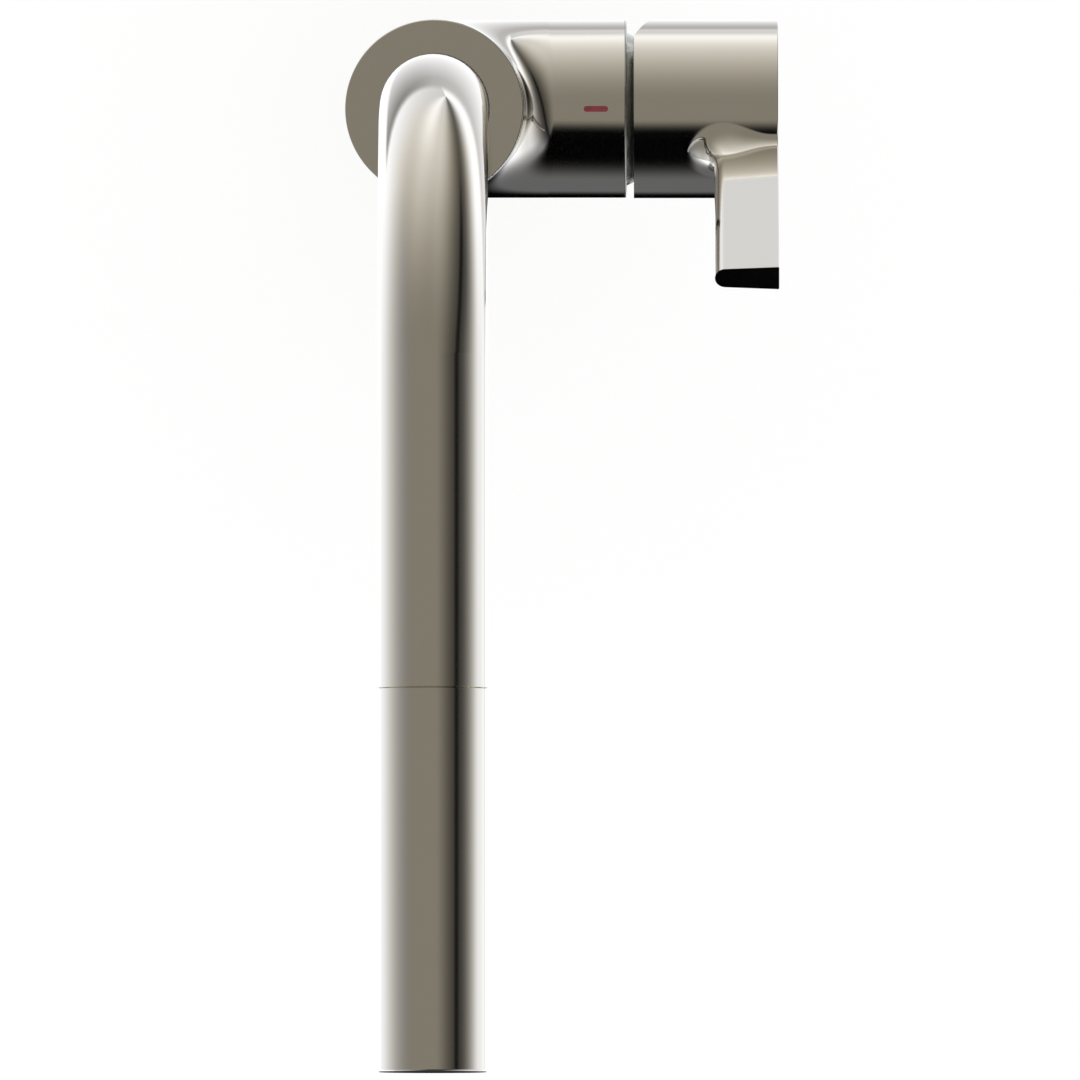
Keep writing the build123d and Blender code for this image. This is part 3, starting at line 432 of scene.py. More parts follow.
def add_floor():
    """One large square below the faucet, matt and nearly white, and clear from below."""
    half, low = FLOOR_SIZE / 2, cad_bounds[0].z - FLOOR_GAP
    mesh = bpy.data.meshes.new("floor")
    corners = [(-half, -half, low), (half, -half, low), (half, half, low), (-half, half, low)]
    mesh.from_pydata(corners, [], [(0, 1, 2, 3)])
    floor = bpy.data.objects.new("floor", mesh)
    bpy.context.scene.collection.objects.link(floor)
    material = bpy.data.materials.new("floor_paper")
    material.use_nodes = True
    tree = material.node_tree
    tree.nodes.clear()
    matt = add_node(tree, "ShaderNodeBsdfDiffuse", Color=(PAPER_TONE, PAPER_TONE, PAPER_TONE, 1.0))
    lift = add_node(tree, "ShaderNodeEmission", Color=WHITE, Strength=PAPER_LIFT)
    paper = tree.nodes.new("ShaderNodeAddShader")
    tree.links.new(matt.outputs[0], paper.inputs[0])
    tree.links.new(lift.outputs[0], paper.inputs[1])
    clear = add_node(tree, "ShaderNodeBsdfTransparent")
    rays = add_node(tree, "ShaderNodeLightPath")
    side = add_node(tree, "ShaderNodeNewGeometry")
    hidden = Wire(tree, rays.outputs["Is Glossy Ray"]).math(
        "ADD", Wire(tree, side.outputs["Backfacing"]), clamp=True
    )
    either = tree.nodes.new("ShaderNodeMixShader")
    plug(tree, either.inputs[0], hidden)
    tree.links.new(paper.outputs[0], either.inputs[1])
    tree.links.new(clear.outputs[0], either.inputs[2])
    out = add_node(tree, "ShaderNodeOutputMaterial")
    tree.links.new(either.outputs[0], out.inputs[0])
    mesh.materials.append(material)
    return floor


print("floor at", round(add_floor().data.vertices[0].co.z, 4))

# %% [markdown]
# ## Finishes
# Each material is a formula on Object coordinates, so that it stays put on its piece.

# %% Finish helpers


def new_finish(name, colour, metallic):
    """A material with a Principled shader; gives the tree, the shader and the coordinates."""
    material = bpy.data.materials.new(name)
    material.use_nodes = True
    material.diffuse_color = (*colour, 1.0)
    tree = material.node_tree
    shader = tree.nodes["Principled BSDF"]
    shader.inputs["Base Color"].default_value = (*colour, 1.0)
    shader.inputs["Metallic"].default_value = metallic
    place = add_node(tree, "ShaderNodeTexCoord")
    return material, tree, shader, place.outputs["Object"]


def noise(tree, vector, scale, detail=2.0, roughness=0.5):
    """A noise pattern from 0 to 1 at that scale."""
    made = add_node(tree, "ShaderNodeTexNoise", Scale=scale, Detail=detail, Roughness=roughness)
    tree.links.new(vector, made.inputs["Vector"])
    return Wire(tree, made.outputs["Fac"])


def colour_between(tree, low, high, share):
    """A colour socket between two colours, by a wire."""
    made = add_node(tree, "ShaderNodeMix", {"data_type": "RGBA"})
    plug(tree, made.inputs["Factor"], share)
    made.inputs[6].default_value = (*low, 1.0)
    made.inputs[7].default_value = (*high, 1.0)
    return Wire(tree, made.outputs[2])


def bump(tree, shader, height, depth, strength=1.0):
    """Bends the shader's normal by a height wire, in metres of depth."""
    made = add_node(tree, "ShaderNodeBump", Strength=strength, Distance=depth, Height=height)
    tree.links.new(made.outputs["Normal"], shader.inputs["Normal"])


# %% [markdown]
# ### Polished nickel
# Plate is buffed to a mirror. What tells it from a perfect mirror is a slight softness that changes
# from place to place, and a faint waviness of the metal under the plate. Both come from noise, far
# too weak to see as a pattern. The dome, deep in its gap under the cap, gets a rougher plate and a
# darker, greyer colour, which is painted shade of the gap.

# %% Nickel
# the second colour, darker and greyer, is painted shade for the dome in its gap
NICKEL, SHADED_NICKEL = (0.86, 0.84, 0.80), (0.62, 0.63, 0.62)
FINE_ROUGHNESS = 0.012


def nickel_finish(name, colour, least, most):
    """Bright metal: roughness and a very low bump from slow and fine noise."""
    material, tree, shader, place = new_finish(name, colour, metallic=1.0)
    haze = noise(tree, place, scale=55.0, detail=3.0)
    fine = noise(tree, place, scale=900.0)
    plug(tree, shader.inputs["Roughness"], mix(least, most, haze) + fine * FINE_ROUGHNESS)
    waves = noise(tree, place, scale=38.0, detail=1.0)
    bump(tree, shader, waves, depth=0.03 * MM, strength=0.35)
    return material


finishes = {"polished_nickel": nickel_finish("polished_nickel", NICKEL, 0.03, 0.065)}
# the dome's nickel: rougher, and darker in colour as painted shade of its gap
finishes["shaded_gap_nickel"] = nickel_finish("shaded_gap_nickel", SHADED_NICKEL, 0.20, 0.26)
print("nickel nodes", len(finishes["polished_nickel"].node_tree.nodes))

# %% [markdown]
# ### Turned brass and steel
# The fittings that nobody sees are left as the lathe made them, with fine rings round the axis that
# they were turned on. The rings are noise read by two numbers only, the distance from that axis and
# the place along it, so each fitting names its axis: the body's, the branch's or the arm's.

# %% Turned metal
BRANCH_HEIGHT = 0.070
ARM_RISE = math.radians(2.0)
ARM_WAY = np.array([0.0, -math.cos(ARM_RISE), math.sin(ARM_RISE)])
SEAM = np.array([0.0, -0.14765, 0.247926])  # where the spout ends and the spray head begins
UPRIGHT, BRANCH, ARM = "upright", "branch", "arm"
LATHE_AXES = {
    UPRIGHT: ((0.0, 0.0, 0.0), (0.0, 0.0, 1.0)),
    BRANCH: ((0.0, 0.0, BRANCH_HEIGHT), (1.0, 0.0, 0.0)),
    ARM: (tuple(SEAM), tuple(ARM_WAY)),
}


def lathe_coordinates(tree, place, axis):
    """A vector of the distance from the axis, the place along it, and 0."""
    origin, way = LATHE_AXES[axis]
    from_origin = add_node(tree, "ShaderNodeVectorMath", {"operation": "SUBTRACT"})
    tree.links.new(place, from_origin.inputs[0])
    from_origin.inputs[1].default_value = origin
    x, y, z = xyz = axis_wires(tree, from_origin.outputs[0])
    level = along(xyz, way)
    radius = (x * x + y * y + z * z - level * level).math("MAXIMUM", 0.0).root()
    return add_node(tree, "ShaderNodeCombineXYZ", X=radius, Y=level).outputs[0]


def turned_finish(name, colour, tarnish, axis, roughness):
    """Bare metal with lathe rings in its bump and roughness, and tarnish in slow patches."""
    material, tree, shader, place = new_finish(name + "_" + axis, colour, metallic=1.0)
    rings = noise(tree, lathe_coordinates(tree, place, axis), scale=5200.0, detail=3.0, roughness=0.6)
    patches = ramp(noise(tree, place, scale=90.0, detail=4.0, roughness=0.6), 0.42, 0.75)
    plug(tree, shader.inputs["Base Color"], colour_between(tree, colour, tarnish, patches * 0.7))
    plug(tree, shader.inputs["Roughness"], mix(roughness, roughness + 0.16, rings) + patches * 0.08)
    bump(tree, shader, rings, depth=0.02 * MM, strength=0.55)
    return material


BARE_METALS = {  # each with its colour, its tarnish and its roughness
    "raw_brass": ((0.78, 0.60, 0.31), (0.52, 0.36, 0.17), 0.20),
    "steel": ((0.60, 0.60, 0.58), (0.42, 0.41, 0.39), 0.24),
}
for axis in LATHE_AXES:
    for name, (colour, tarnish, roughness) in BARE_METALS.items():
        finishes[name + "_" + axis] = turned_finish(name, colour, tarnish, axis, roughness)
print("turned finishes", len(LATHE_AXES) * len(BARE_METALS))

# %% [markdown]
# ### Rubber, plastic and ceramic
# Moulded rubber is matt with a dusty bloom. Injection-moulded plastic has a fine spark-eroded grain
# and slow, faint flow marks. The ceramic discs are lapped so flat that they shine, and under the
# shine the sintered grain shows as tiny flecks.

# %% Rubber, plastic, ceramic


def rubber_finish():
    """Black rubber: bloom from slow noise lightens and roughens it, and fine noise is its grain."""
    material, tree, shader, place = new_finish("black_rubber", (0.03, 0.03, 0.03), metallic=0.0)
    bloom = ramp(noise(tree, place, scale=140.0, detail=5.0, roughness=0.6), 0.45, 0.8)
    dusty = colour_between(tree, (0.022, 0.022, 0.023), (0.075, 0.073, 0.07), bloom)
    plug(tree, shader.inputs["Base Color"], dusty)
    plug(tree, shader.inputs["Roughness"], mix(0.52, 0.78, bloom))
    bump(tree, shader, noise(tree, place, scale=2600.0), depth=0.04 * MM, strength=0.5)
    return material


def plastic_finish(name, colour, shade, roughness):
    """Moulded plastic: a fine even grain in the bump and faint flow marks in colour and gloss."""
    material, tree, shader, place = new_finish(name, colour, metallic=0.0)
    flow = noise(tree, place, scale=70.0, detail=3.0, roughness=0.55)
    grain = noise(tree, place, scale=3400.0, detail=1.0)
    plug(tree, shader.inputs["Base Color"], colour_between(tree, colour, shade, ramp(flow, 0.35, 0.75)))
    plug(tree, shader.inputs["Roughness"], mix(roughness, roughness + 0.14, grain) + flow * 0.05)
    bump(tree, shader, grain, depth=0.03 * MM, strength=0.4)
    return material


def ceramic_finish():
    """Lapped alumina: flecks of sintered grain in the colour, and a nearly mirror-like gloss."""
    material, tree, shader, place = new_finish("ceramic", (0.90, 0.88, 0.84), metallic=0.0)
    shader.inputs["IOR"].default_value = 1.76
    cells = add_node(tree, "ShaderNodeTexVoronoi", Scale=2400.0)
    tree.links.new(place, cells.inputs["Vector"])
    flecks = ramp(Wire(tree, cells.outputs["Distance"]), 0.1, 0.6)
    flecked = colour_between(tree, (0.93, 0.92, 0.89), (0.80, 0.77, 0.72), flecks)
    plug(tree, shader.inputs["Base Color"], flecked)
    plug(tree, shader.inputs["Roughness"], mix(0.08, 0.2, noise(tree, place, scale=400.0, detail=3.0)))
    bump(tree, shader, flecks, depth=0.01 * MM, strength=0.3)
    return material


finishes["black_rubber"] = rubber_finish()
finishes["ceramic"] = ceramic_finish()
PLASTICS = {  # each with its colour, its shade and its roughness
    "white_plastic": ((0.84, 0.84, 0.81), (0.78, 0.77, 0.73), 0.34),
    "grey_plastic": ((0.30, 0.31, 0.32), (0.24, 0.25, 0.26), 0.40),
    "black_plastic": ((0.045, 0.045, 0.05), (0.075, 0.075, 0.08), 0.44),
}
for name, (colour, shade, roughness) in PLASTICS.items():
    finishes[name] = plastic_finish(name, colour, shade, roughness)
print("moulded finishes", ["black_rubber", "ceramic", *PLASTICS])

# %% [markdown]
# ### Red and blue marks
# The marks that show hot and cold are enamel in shallow pockets of the branch. Enamel pools: it is a
# little deeper in colour where it is thick, and its surface is glossy with a slight orange peel.

# %% Marks


def enamel_finish(name, colour, deep):
    """Glossy enamel whose colour deepens by slow noise, under a clear coat."""
    material, tree, shader, place = new_finish(name, colour, metallic=0.0)
    shader.inputs["Coat Weight"].default_value = 0.35
    shader.inputs["Coat Roughness"].default_value = 0.12
    pool = noise(tree, place, scale=420.0, detail=3.0)
    plug(tree, shader.inputs["Base Color"], colour_between(tree, colour, deep, ramp(pool, 0.3, 0.7)))
    plug(tree, shader.inputs["Roughness"], mix(0.28, 0.42, pool))
    bump(tree, shader, noise(tree, place, scale=1500.0, detail=1.0), depth=0.01 * MM, strength=0.3)
    return material


finishes["red_mark"] = enamel_finish("red_mark", (0.245, 0.030, 0.042), (0.200, 0.022, 0.032))
finishes["blue_mark"] = enamel_finish("blue_mark", (0.030, 0.085, 0.300), (0.020, 0.062, 0.230))
print("marks", finishes["red_mark"].name, finishes["blue_mark"].name)

# %% [markdown]
# ### Braid
# The spray hose wears a braided sleeve: bands of thin threads that wind both ways round it and pass
# over and under each other. The pattern is worked out from the hose's own map, which counts the bands
# round it and along it, so the braid keeps its size where the hose feeds out.

# %% Braid
BANDS = 16
BAND_PITCH = 4.2 * MM  # along the hose, from one band to the next
BAND_THREADS = 5.0


def braid_finish():
    """Two families of slanted bands. Where their cell numbers add up to an even number the first is
    on top, else the second. Each band is rounded across and ribbed by its own threads. Its colour is
    painted shade: near black where the braid is low, between threads and where a band dives under."""
    material, tree, shader, place = new_finish("hose_braid", (0.5, 0.5, 0.5), metallic=0.85)
    chart = add_node(tree, "ShaderNodeUVMap", {"uv_map": "bands"})
    round_it, along_it, _ = axis_wires(tree, chart.outputs[0])
    first, second = round_it + along_it, round_it - along_it
    cell = (first.math("FLOOR") + second.math("FLOOR")).math("FLOORED_MODULO", 2.0)
    across = mix(second.math("FRACT"), first.math("FRACT"), cell)
    lengthwise = mix(first.math("FRACT"), second.math("FRACT"), cell)
    crown = (across * math.pi).sine().power(0.6)
    dive = (lengthwise * math.pi).sine().power(0.7)
    threads = (across * (BAND_THREADS * math.pi)).sine().size()
    height = crown * 0.45 + dive * 0.4 + threads * 0.15
    # painted shade: the colour darkens to near black where the braid's height is low
    shade = colour_between(tree, (0.05, 0.05, 0.05), (0.66, 0.66, 0.65), ramp(height, 0.25, 0.75))
    plug(tree, shader.inputs["Base Color"], shade)
    plug(tree, shader.inputs["Roughness"], mix(0.48, 0.30, height))
    bump(tree, shader, height, depth=0.25 * MM, strength=0.9)
    return material


finishes["hose_braid"] = braid_finish()
print("braid nodes", len(finishes["hose_braid"].node_tree.nodes))

# %% [markdown]
# ## Finishes on the solids
# Every solid takes the finish of its slot in the record. Turned fittings also name their axis, by
# where they sit in the faucet, and the dome has its own rougher nickel, darkened with painted shade.

# %% Assign
ARM_PIECES = {"head_inlet", "hose_nut", "hose_ferrule", "check_valve_spring"}
BRANCH_PIECES = {"cartridge_nut", "pivot_pin", "cartridge_stem", "grub_screw"}


def finish_of(node, slot):
    """The finish for a node: rougher nickel with painted shade for the dome, and the turning axis added for
    bare metal.
    """
    if node == "neck_dome":
        return finishes["shaded_gap_nickel"]
    if slot not in ("raw_brass", "steel"):
        return finishes[slot]
    axis = ARM if node in ARM_PIECES else BRANCH if node in BRANCH_PIECES else UPRIGHT
    return finishes[slot + "_" + axis]


for part in frame["record"]["subparts"]:
    mesh = nodes[part["node"]].data
    mesh.materials.clear()
    mesh.materials.append(finish_of(part["node"], part["material_slot"]))

# %% [markdown]
# ## Surfaces from grids
# The pieces that follow are grids of points, computed as whole arrays. Rows run along the piece and
# columns run round it, with the last column back in the first one's place. Points in the same place
# are then merged, which closes the seam. Polished metal shows the least error in the direction of a
# surface, so a mirror-bright piece also gives its exact directions instead of leaving them to be
# averaged from its faces.

# %% Grid to mesh
SAME_PLACE = 0.001 * MM


def surface(name, points, chart=None, outward=None, close_rows=False, sharp=35.0):
    """A mesh from a grid of points, with a grid of map places and a grid of outward directions where
    they are given: each face joins a point with the next in its row and the two beside them in the
    next row."""
    rows, columns = points.shape[:2]
    last_row = rows if close_rows else rows - 1
    row, column = np.meshgrid(np.arange(last_row), np.arange(columns - 1), indexing="ij")
    here, above = row * columns + column, (row + 1) % rows * columns + column
    faces = np.stack([here, here + 1, above + 1, above], axis=-1).reshape(-1, 4)
    mesh = bpy.data.meshes.new(name)
    mesh.from_pydata(points.reshape(-1, 3), [], faces.tolist())
    if chart is not None:
        places = chart.reshape(-1, 2)[faces.reshape(-1)]
        mesh.uv_layers.new(name="bands").data.foreach_set("uv", places.reshape(-1).astype(np.float32))
    if outward is not None:
        ways = mesh.attributes.new("outward", "FLOAT_VECTOR", "POINT")
        ways.data.foreach_set("vector", outward.reshape(-1).astype(np.float32))
    merge_places(mesh)
    mesh.shade_smooth()
    mesh.set_sharp_from_angle(angle=math.radians(sharp))
    if outward is not None:
        use_directions(mesh)
    piece = bpy.data.objects.new(name, mesh)
    bpy.context.scene.collection.objects.link(piece)
    return piece


def read_all(items, field, kind=np.float32, size=3):
    """One field of all of a mesh's items, as an array with a row for each item."""
    values = np.zeros(len(items) * size, kind)
    items.foreach_get(field, values)
    return values.reshape(-1, size) if size > 1 else values


def use_directions(mesh):
    """Shades the mesh by the outward directions stored on its points, at the corners of faces that
    look within 60 degrees of them."""
    ways = read_all(mesh.attributes["outward"].data, "vector")
    ways = ways[read_all(mesh.loops, "vertex_index", np.int32, 1)]
    corners = read_all(mesh.polygons, "loop_total", np.int32, 1)
    looks = np.repeat(read_all(mesh.polygons, "normal"), corners, axis=0)
    ways[(ways * looks).sum(axis=1) < math.cos(math.radians(60.0))] = 0.0
    mesh.normals_split_custom_set(ways.tolist())
    mesh.attributes.remove(mesh.attributes["outward"])


def merge_places(mesh):
    """Makes one point of all points in the same place, within a thousandth of a millimetre."""
    edit = bmesh.new()
    edit.from_mesh(mesh)
    bmesh.ops.remove_doubles(edit, verts=edit.verts, dist=SAME_PLACE)
    edit.to_mesh(mesh)
    edit.free()
    mesh.update()


def triangles(piece):
    """How many triangles the piece has."""
    return sum(len(face.vertices) - 2 for face in piece.data.polygons)


# %% [markdown]
# ## The round between body and branch
# The casting flows from the upright body into the branch. On the real faucet this round starts from
# one level line round the branch and widens towards the sides, where the two cylinders nearly touch.
# A plain fillet can't do that, so a thin skin is laid over the casting's own. In each plane across
# the faucet the skin is a quarter of an ellipse, from the branch's line to the body's upright line,
# and at both ends it runs into the casting without a step.

# %% Body round
BODY_RADIUS, BRANCH_RADIUS = 23.0 * MM, 22.9 * MM
ROUND_START, ROUND_SWEEP = 31.2 * MM, 2.0 * MM  # along the branch: on top, and less at the sides
ROUND_CLIMB = 9.0 * MM  # up the body above the branch
SKIN_LIFT, SKIN_DEPTH = 0.01 * MM, 0.6 * MM
ROUND_COLUMNS, ROUND_ROWS = 289, 31


def round_skin_points():
    """The ellipse's corner stands at (sqrt(body radius^2 - y^2), y, branch radius * cosine) for
    y = -branch radius * sine of the angle round the branch. From there one half axis reaches along
    the branch to its start line, and the other climbs the body by 1 - (1 - |cosine|)^3 of the most."""
    angle = np.linspace(2.0 * np.pi, 0.0, ROUND_COLUMNS)[None, :]
    rise = np.cos(angle)
    y = -BRANCH_RADIUS * np.sin(angle)
    corner_x, corner_z = np.sqrt(BODY_RADIUS**2 - y * y), BRANCH_RADIUS * rise
    reach = ROUND_START - ROUND_SWEEP * np.sin(angle) ** 2 - corner_x
    climb = ROUND_CLIMB * np.sign(rise) * (1.0 - (1.0 - np.abs(rise)) ** 3)
    turn = np.linspace(0.0, np.pi / 2.0, ROUND_ROWS)[:, None]
    x = corner_x + reach * (1.0 - np.sin(turn))
    z = corner_z + climb * (1.0 - np.cos(turn))
    return np.stack([x, np.broadcast_to(y, x.shape), z + BRANCH_HEIGHT], axis=-1)


def outward_ways(points):
    """Directions square to the grid: the cross product of its steps along rows and columns."""
    ways = np.cross(np.gradient(points, axis=1, edge_order=2), np.gradient(points, axis=0, edge_order=2))
    return ways / np.maximum(np.linalg.norm(ways, axis=-1, keepdims=True), 1e-12)


def body_round():
    """The skin, lifted a little off the casting, and its inner side, sunk into the casting."""
    outer = round_skin_points()
    ways = outward_ways(outer)
    skin = np.concatenate([outer + ways * SKIN_LIFT, (outer - ways * SKIN_DEPTH)[::-1]])
    piece = surface("body_round", skin, outward=np.concatenate([ways, -ways[::-1]]), close_rows=True)
    piece.data.materials.append(finishes["polished_nickel"])
    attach(piece, "fixed_body")
    return piece


print("body round triangles", triangles(body_round()))

# %% [markdown]
# ## The lever's root
# The lever grows out of the cap through a round that swells towards the branch and tightens at the
# end face, which a plain fillet of one radius can't show. A ball is rolled along the corner between
# lever and cap, and its radius changes on the way. The lever and the strip of the cap round it are
# made anew as one closed solid, and the rest of the cap is kept and cut off flat behind them. All of
# it is worked out in the handle's own frame: X along the lever, Y across it, Z along the branch.

# %% Handle frame
LEVER_RISE = math.radians(60.0)  # above the level, towards the user
LEVER_WAY = np.array([0.0, -math.cos(LEVER_RISE), math.sin(LEVER_RISE)])
HANDLE_AXES = np.array([LEVER_WAY, np.cross([1.0, 0.0, 0.0], LEVER_WAY), [1.0, 0.0, 0.0]])
HANDLE_ORIGIN = np.array([0.0, 0.0, BRANCH_HEIGHT])
CAP_RADIUS, CAP_START, CAP_END, CAP_EDGE = 23.0 * MM, 51.4 * MM, 88.6 * MM, 0.3 * MM
LEVER_LENGTH = 87.0 * MM
EDGE_RADIUS, EDGE_PLACE = 2.7 * MM, 74.8 * MM  # the lever's round edge and its centre
FACE_HALF = 3.3 * MM  # half the lever's thickness at the end face
BALL_END, BALL_MOST, BALL_LEFT = 3.2 * MM, 9.0 * MM, 7.8 * MM
BALL_LATENESS = 1.3  # above 1 the ball grows later, nearer to the lever's round edge
SIDE_STEPS, EDGE_STEPS = 22, 25


def lever_outline():
    """Across the lever, one side, the round edge and the other side: points, outward directions and
    ball radii. A side touches the round edge and ends at the end face's corner, so its slope is the
    corner's angle, seen from the edge's centre, less arccos(edge radius / corner's distance)."""
    far = np.array([FACE_HALF, CAP_END - EDGE_PLACE])
    slope = math.atan2(far[1], far[0]) - math.acos(EDGE_RADIUS / np.hypot(*far))
    side_end = (CAP_END - CAP_EDGE - EDGE_PLACE - EDGE_RADIUS * math.sin(slope)) / math.cos(slope)
    run = np.linspace(side_end, 0.0, SIDE_STEPS, endpoint=False)
    way, mirror = np.array([math.cos(slope), math.sin(slope)]), np.array([-1.0, 1.0])
    side = EDGE_RADIUS * way + run[:, None] * np.array([-way[1], way[0]])
    side_ways = np.repeat(way[None], SIDE_STEPS, axis=0)
    turn = np.linspace(slope, -math.pi - slope, EDGE_STEPS)
    edge_ways = np.stack([np.cos(turn), np.sin(turn)], axis=-1)
    point = np.concatenate([side, EDGE_RADIUS * edge_ways, side[::-1] * mirror])
    ways = np.concatenate([side_ways, edge_ways, side_ways * mirror])
    share = 1.0 - run / side_end
    swell = BALL_END + (BALL_MOST - BALL_END) * (share * share * (3 - 2 * share)) ** BALL_LATENESS
    from_middle = (turn + math.pi / 2) / (1 + 2 * slope / math.pi)
    dip = BALL_MOST - (BALL_MOST - BALL_LEFT) * np.cos(from_middle) ** 2
    return point + np.array([0.0, EDGE_PLACE]), ways, np.concatenate([swell, dip, swell[::-1]])


# %% Lever side and root
STRAIGHT_ROWS, ARC_ROWS, SKIN_ROWS = 9, 25, 7


def root_rows(outline, ways, ball):
    """Rows along every line of the outline, with their outward directions: straight down the lever to
    where the ball touches it, at sqrt((cap + ball)^2 - (y + ball * way)^2) along, then round the ball
    to where it touches the cap, then over the cap's skin to the strip's border."""
    centre = outline + ball[:, None] * ways
    along_it = np.sqrt((CAP_RADIUS + ball) ** 2 - centre[:, 0] ** 2)
    across = np.stack([np.zeros_like(ball), ways[:, 0], ways[:, 1]], axis=-1)
    centre = np.stack([along_it, centre[:, 0], centre[:, 1]], axis=-1)
    radial = centre * np.array([1.0, 1.0, 0.0]) / (CAP_RADIUS + ball)[:, None]
    bend = np.arccos(np.clip((across * radial).sum(axis=1), -1.0, 1.0))[None, :, None]
    t = np.linspace(0.0, 1.0, ARC_ROWS)[:, None, None]
    spoke = (np.sin((1 - t) * bend) * across + np.sin(t * bend) * radial) / np.sin(bend)
    arc = centre - ball[:, None] * spoke
    arc_ways = outward_ways(arc)
    arc_ways[0], arc_ways[-1] = across, radial
    tip = np.stack([np.full_like(ball, LEVER_LENGTH), outline[:, 0], outline[:, 1]], axis=-1)
    share = np.linspace(0.0, 1.0, STRAIGHT_ROWS, endpoint=False)[:, None, None]
    straight, straight_ways = tip + share * (arc[0] - tip), np.repeat(across[None], STRAIGHT_ROWS, axis=0)
    skin, skin_ways = skin_rows(arc[-1])
    return np.concatenate([straight, arc, skin]), np.concatenate([straight_ways, arc_ways, skin_ways])


# %% Strip of the cap
CUT_PLACE = 21.0 * MM  # along the lever, from the cap's axis
LEG_PLACE = 71.0 * MM  # where the lines from the lever's round edge start on the border
TUCK_TURN, TUCK_DEPTH = 1.05, 0.1 * MM  # how much further round and deeper the tucked row lies


def skin_rows(start):
    """Over the cap's skin: the angle round the cap and the place along it both go evenly from the
    root's edge to the border of the strip, down one side, along the cap's rim and up the other. The
    last row is tucked a little under the skin of the cut cap."""
    border = math.acos(CUT_PLACE / CAP_RADIUS)
    down = np.linspace(CAP_END - CAP_EDGE, LEG_PLACE, SIDE_STEPS, endpoint=False)
    knots, leg = np.arange(4), np.linspace(0.0, 3.0, EDGE_STEPS)
    rim_angle = np.interp(leg, knots, [border, border, -border, -border])
    rim_place = np.interp(leg, knots, [LEG_PLACE, CAP_START, CAP_START, LEG_PLACE])
    end_angle = np.concatenate([np.full(SIDE_STEPS, border), rim_angle, np.full(SIDE_STEPS, -border)])
    end_place = np.concatenate([down, rim_place, down[::-1]])
    t = np.append(np.linspace(0.0, 1.0, SKIN_ROWS + 1)[1:], 1.0)[:, None]
    angle = (1 - t) * np.arctan2(start[:, 1], start[:, 0]) + t * end_angle
    place = (1 - t) * start[:, 2] + t * end_place
    angle[-1] *= TUCK_TURN
    radius = np.append(np.full(SKIN_ROWS, CAP_RADIUS), CAP_RADIUS - TUCK_DEPTH)[:, None, None]
    ways = np.stack([np.cos(angle), np.sin(angle), np.zeros_like(angle)], axis=-1)
    return ways * radius + place[..., None] * np.array([0.0, 0.0, 1.0]), ways


# %% Lever solid
CORNER_ROWS, STRIPS = 5, 5
TIP_MIDDLE, BACK_MIDDLE = 80.5 * MM, (CAP_START + CAP_END) / 2  # along the branch
BACK_PLACE, BACK_SHARE = CUT_PLACE - 0.6 * MM, 0.995  # the flat back along the lever, and its width


def closed_rows(rows, corners, strips):
    """The rows carried on over the second corner, the end face and the first corner to their start."""
    lines = rows.transpose(1, 0, 2)
    loop = np.concatenate([lines, corners[1], strips, corners[0][::-1], lines[:1]])
    return loop.transpose(1, 0, 2)


def lever_solid():
    """The rows above, closed over the end face by quarter-round corners and flat strips, at the tip by
    a flat face and behind by the flat cut."""
    rows, ways = root_rows(*lever_outline())
    up = np.array([0.0, 0.0, 1.0])
    turn = np.linspace(0.0, np.pi / 2, CORNER_ROWS)[1:, None, None]
    corners, corner_ways = [], []
    for line, way in ((rows[:, 0], ways[:, 0]), (rows[:, -1], ways[:, -1])):
        flat = way * np.array([1.0, 1.0, 0.0])
        flat = flat / np.linalg.norm(flat, axis=1, keepdims=True)
        corners.append(line + CAP_EDGE * ((np.cos(turn) - 1) * flat + np.sin(turn) * up))
        corner_ways.append(np.cos(turn) * flat + np.sin(turn) * up)
    share = np.linspace(0.0, 1.0, STRIPS + 1)[1:-1, None, None]
    strips = corners[1][-1] + share * (corners[0][-1] - corners[1][-1])
    grid = closed_rows(rows, corners, strips)
    grid_ways = closed_rows(ways, corner_ways, np.broadcast_to(up, strips.shape))
    back = grid[-1] * np.array([0.0, BACK_SHARE, 1.0]) + np.array([BACK_PLACE, 0.0, 0.0])
    tip = np.broadcast_to([LEVER_LENGTH, 0.0, TIP_MIDDLE], back.shape)
    pole = np.broadcast_to([BACK_PLACE, 0.0, BACK_MIDDLE], back.shape)
    none = np.zeros_like(back)
    points = np.concatenate([[tip], grid, [back], [pole]])
    outward = np.concatenate([[none], grid_ways, [none], [none]])
    return points @ HANDLE_AXES + HANDLE_ORIGIN, outward @ HANDLE_AXES


def lever_root():
    """The closed solid of the lever and the strip of the cap round its root."""
    points, outward = lever_solid()
    piece = surface("lever_root", points, outward=outward)
    piece.data.materials.append(finishes["polished_nickel"])
    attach(piece, "handle")
    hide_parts("lever_handle")
    return piece


print("lever triangles", triangles(lever_root()))

# %% [markdown]
# ### The rest of the cap
# The solid's own mesh is copied, cut off flat behind the strip and closed. Its skin gets the exact
# directions of the cap's circle, so that reflections run on from the cap to the strip.

# %% Cut cap


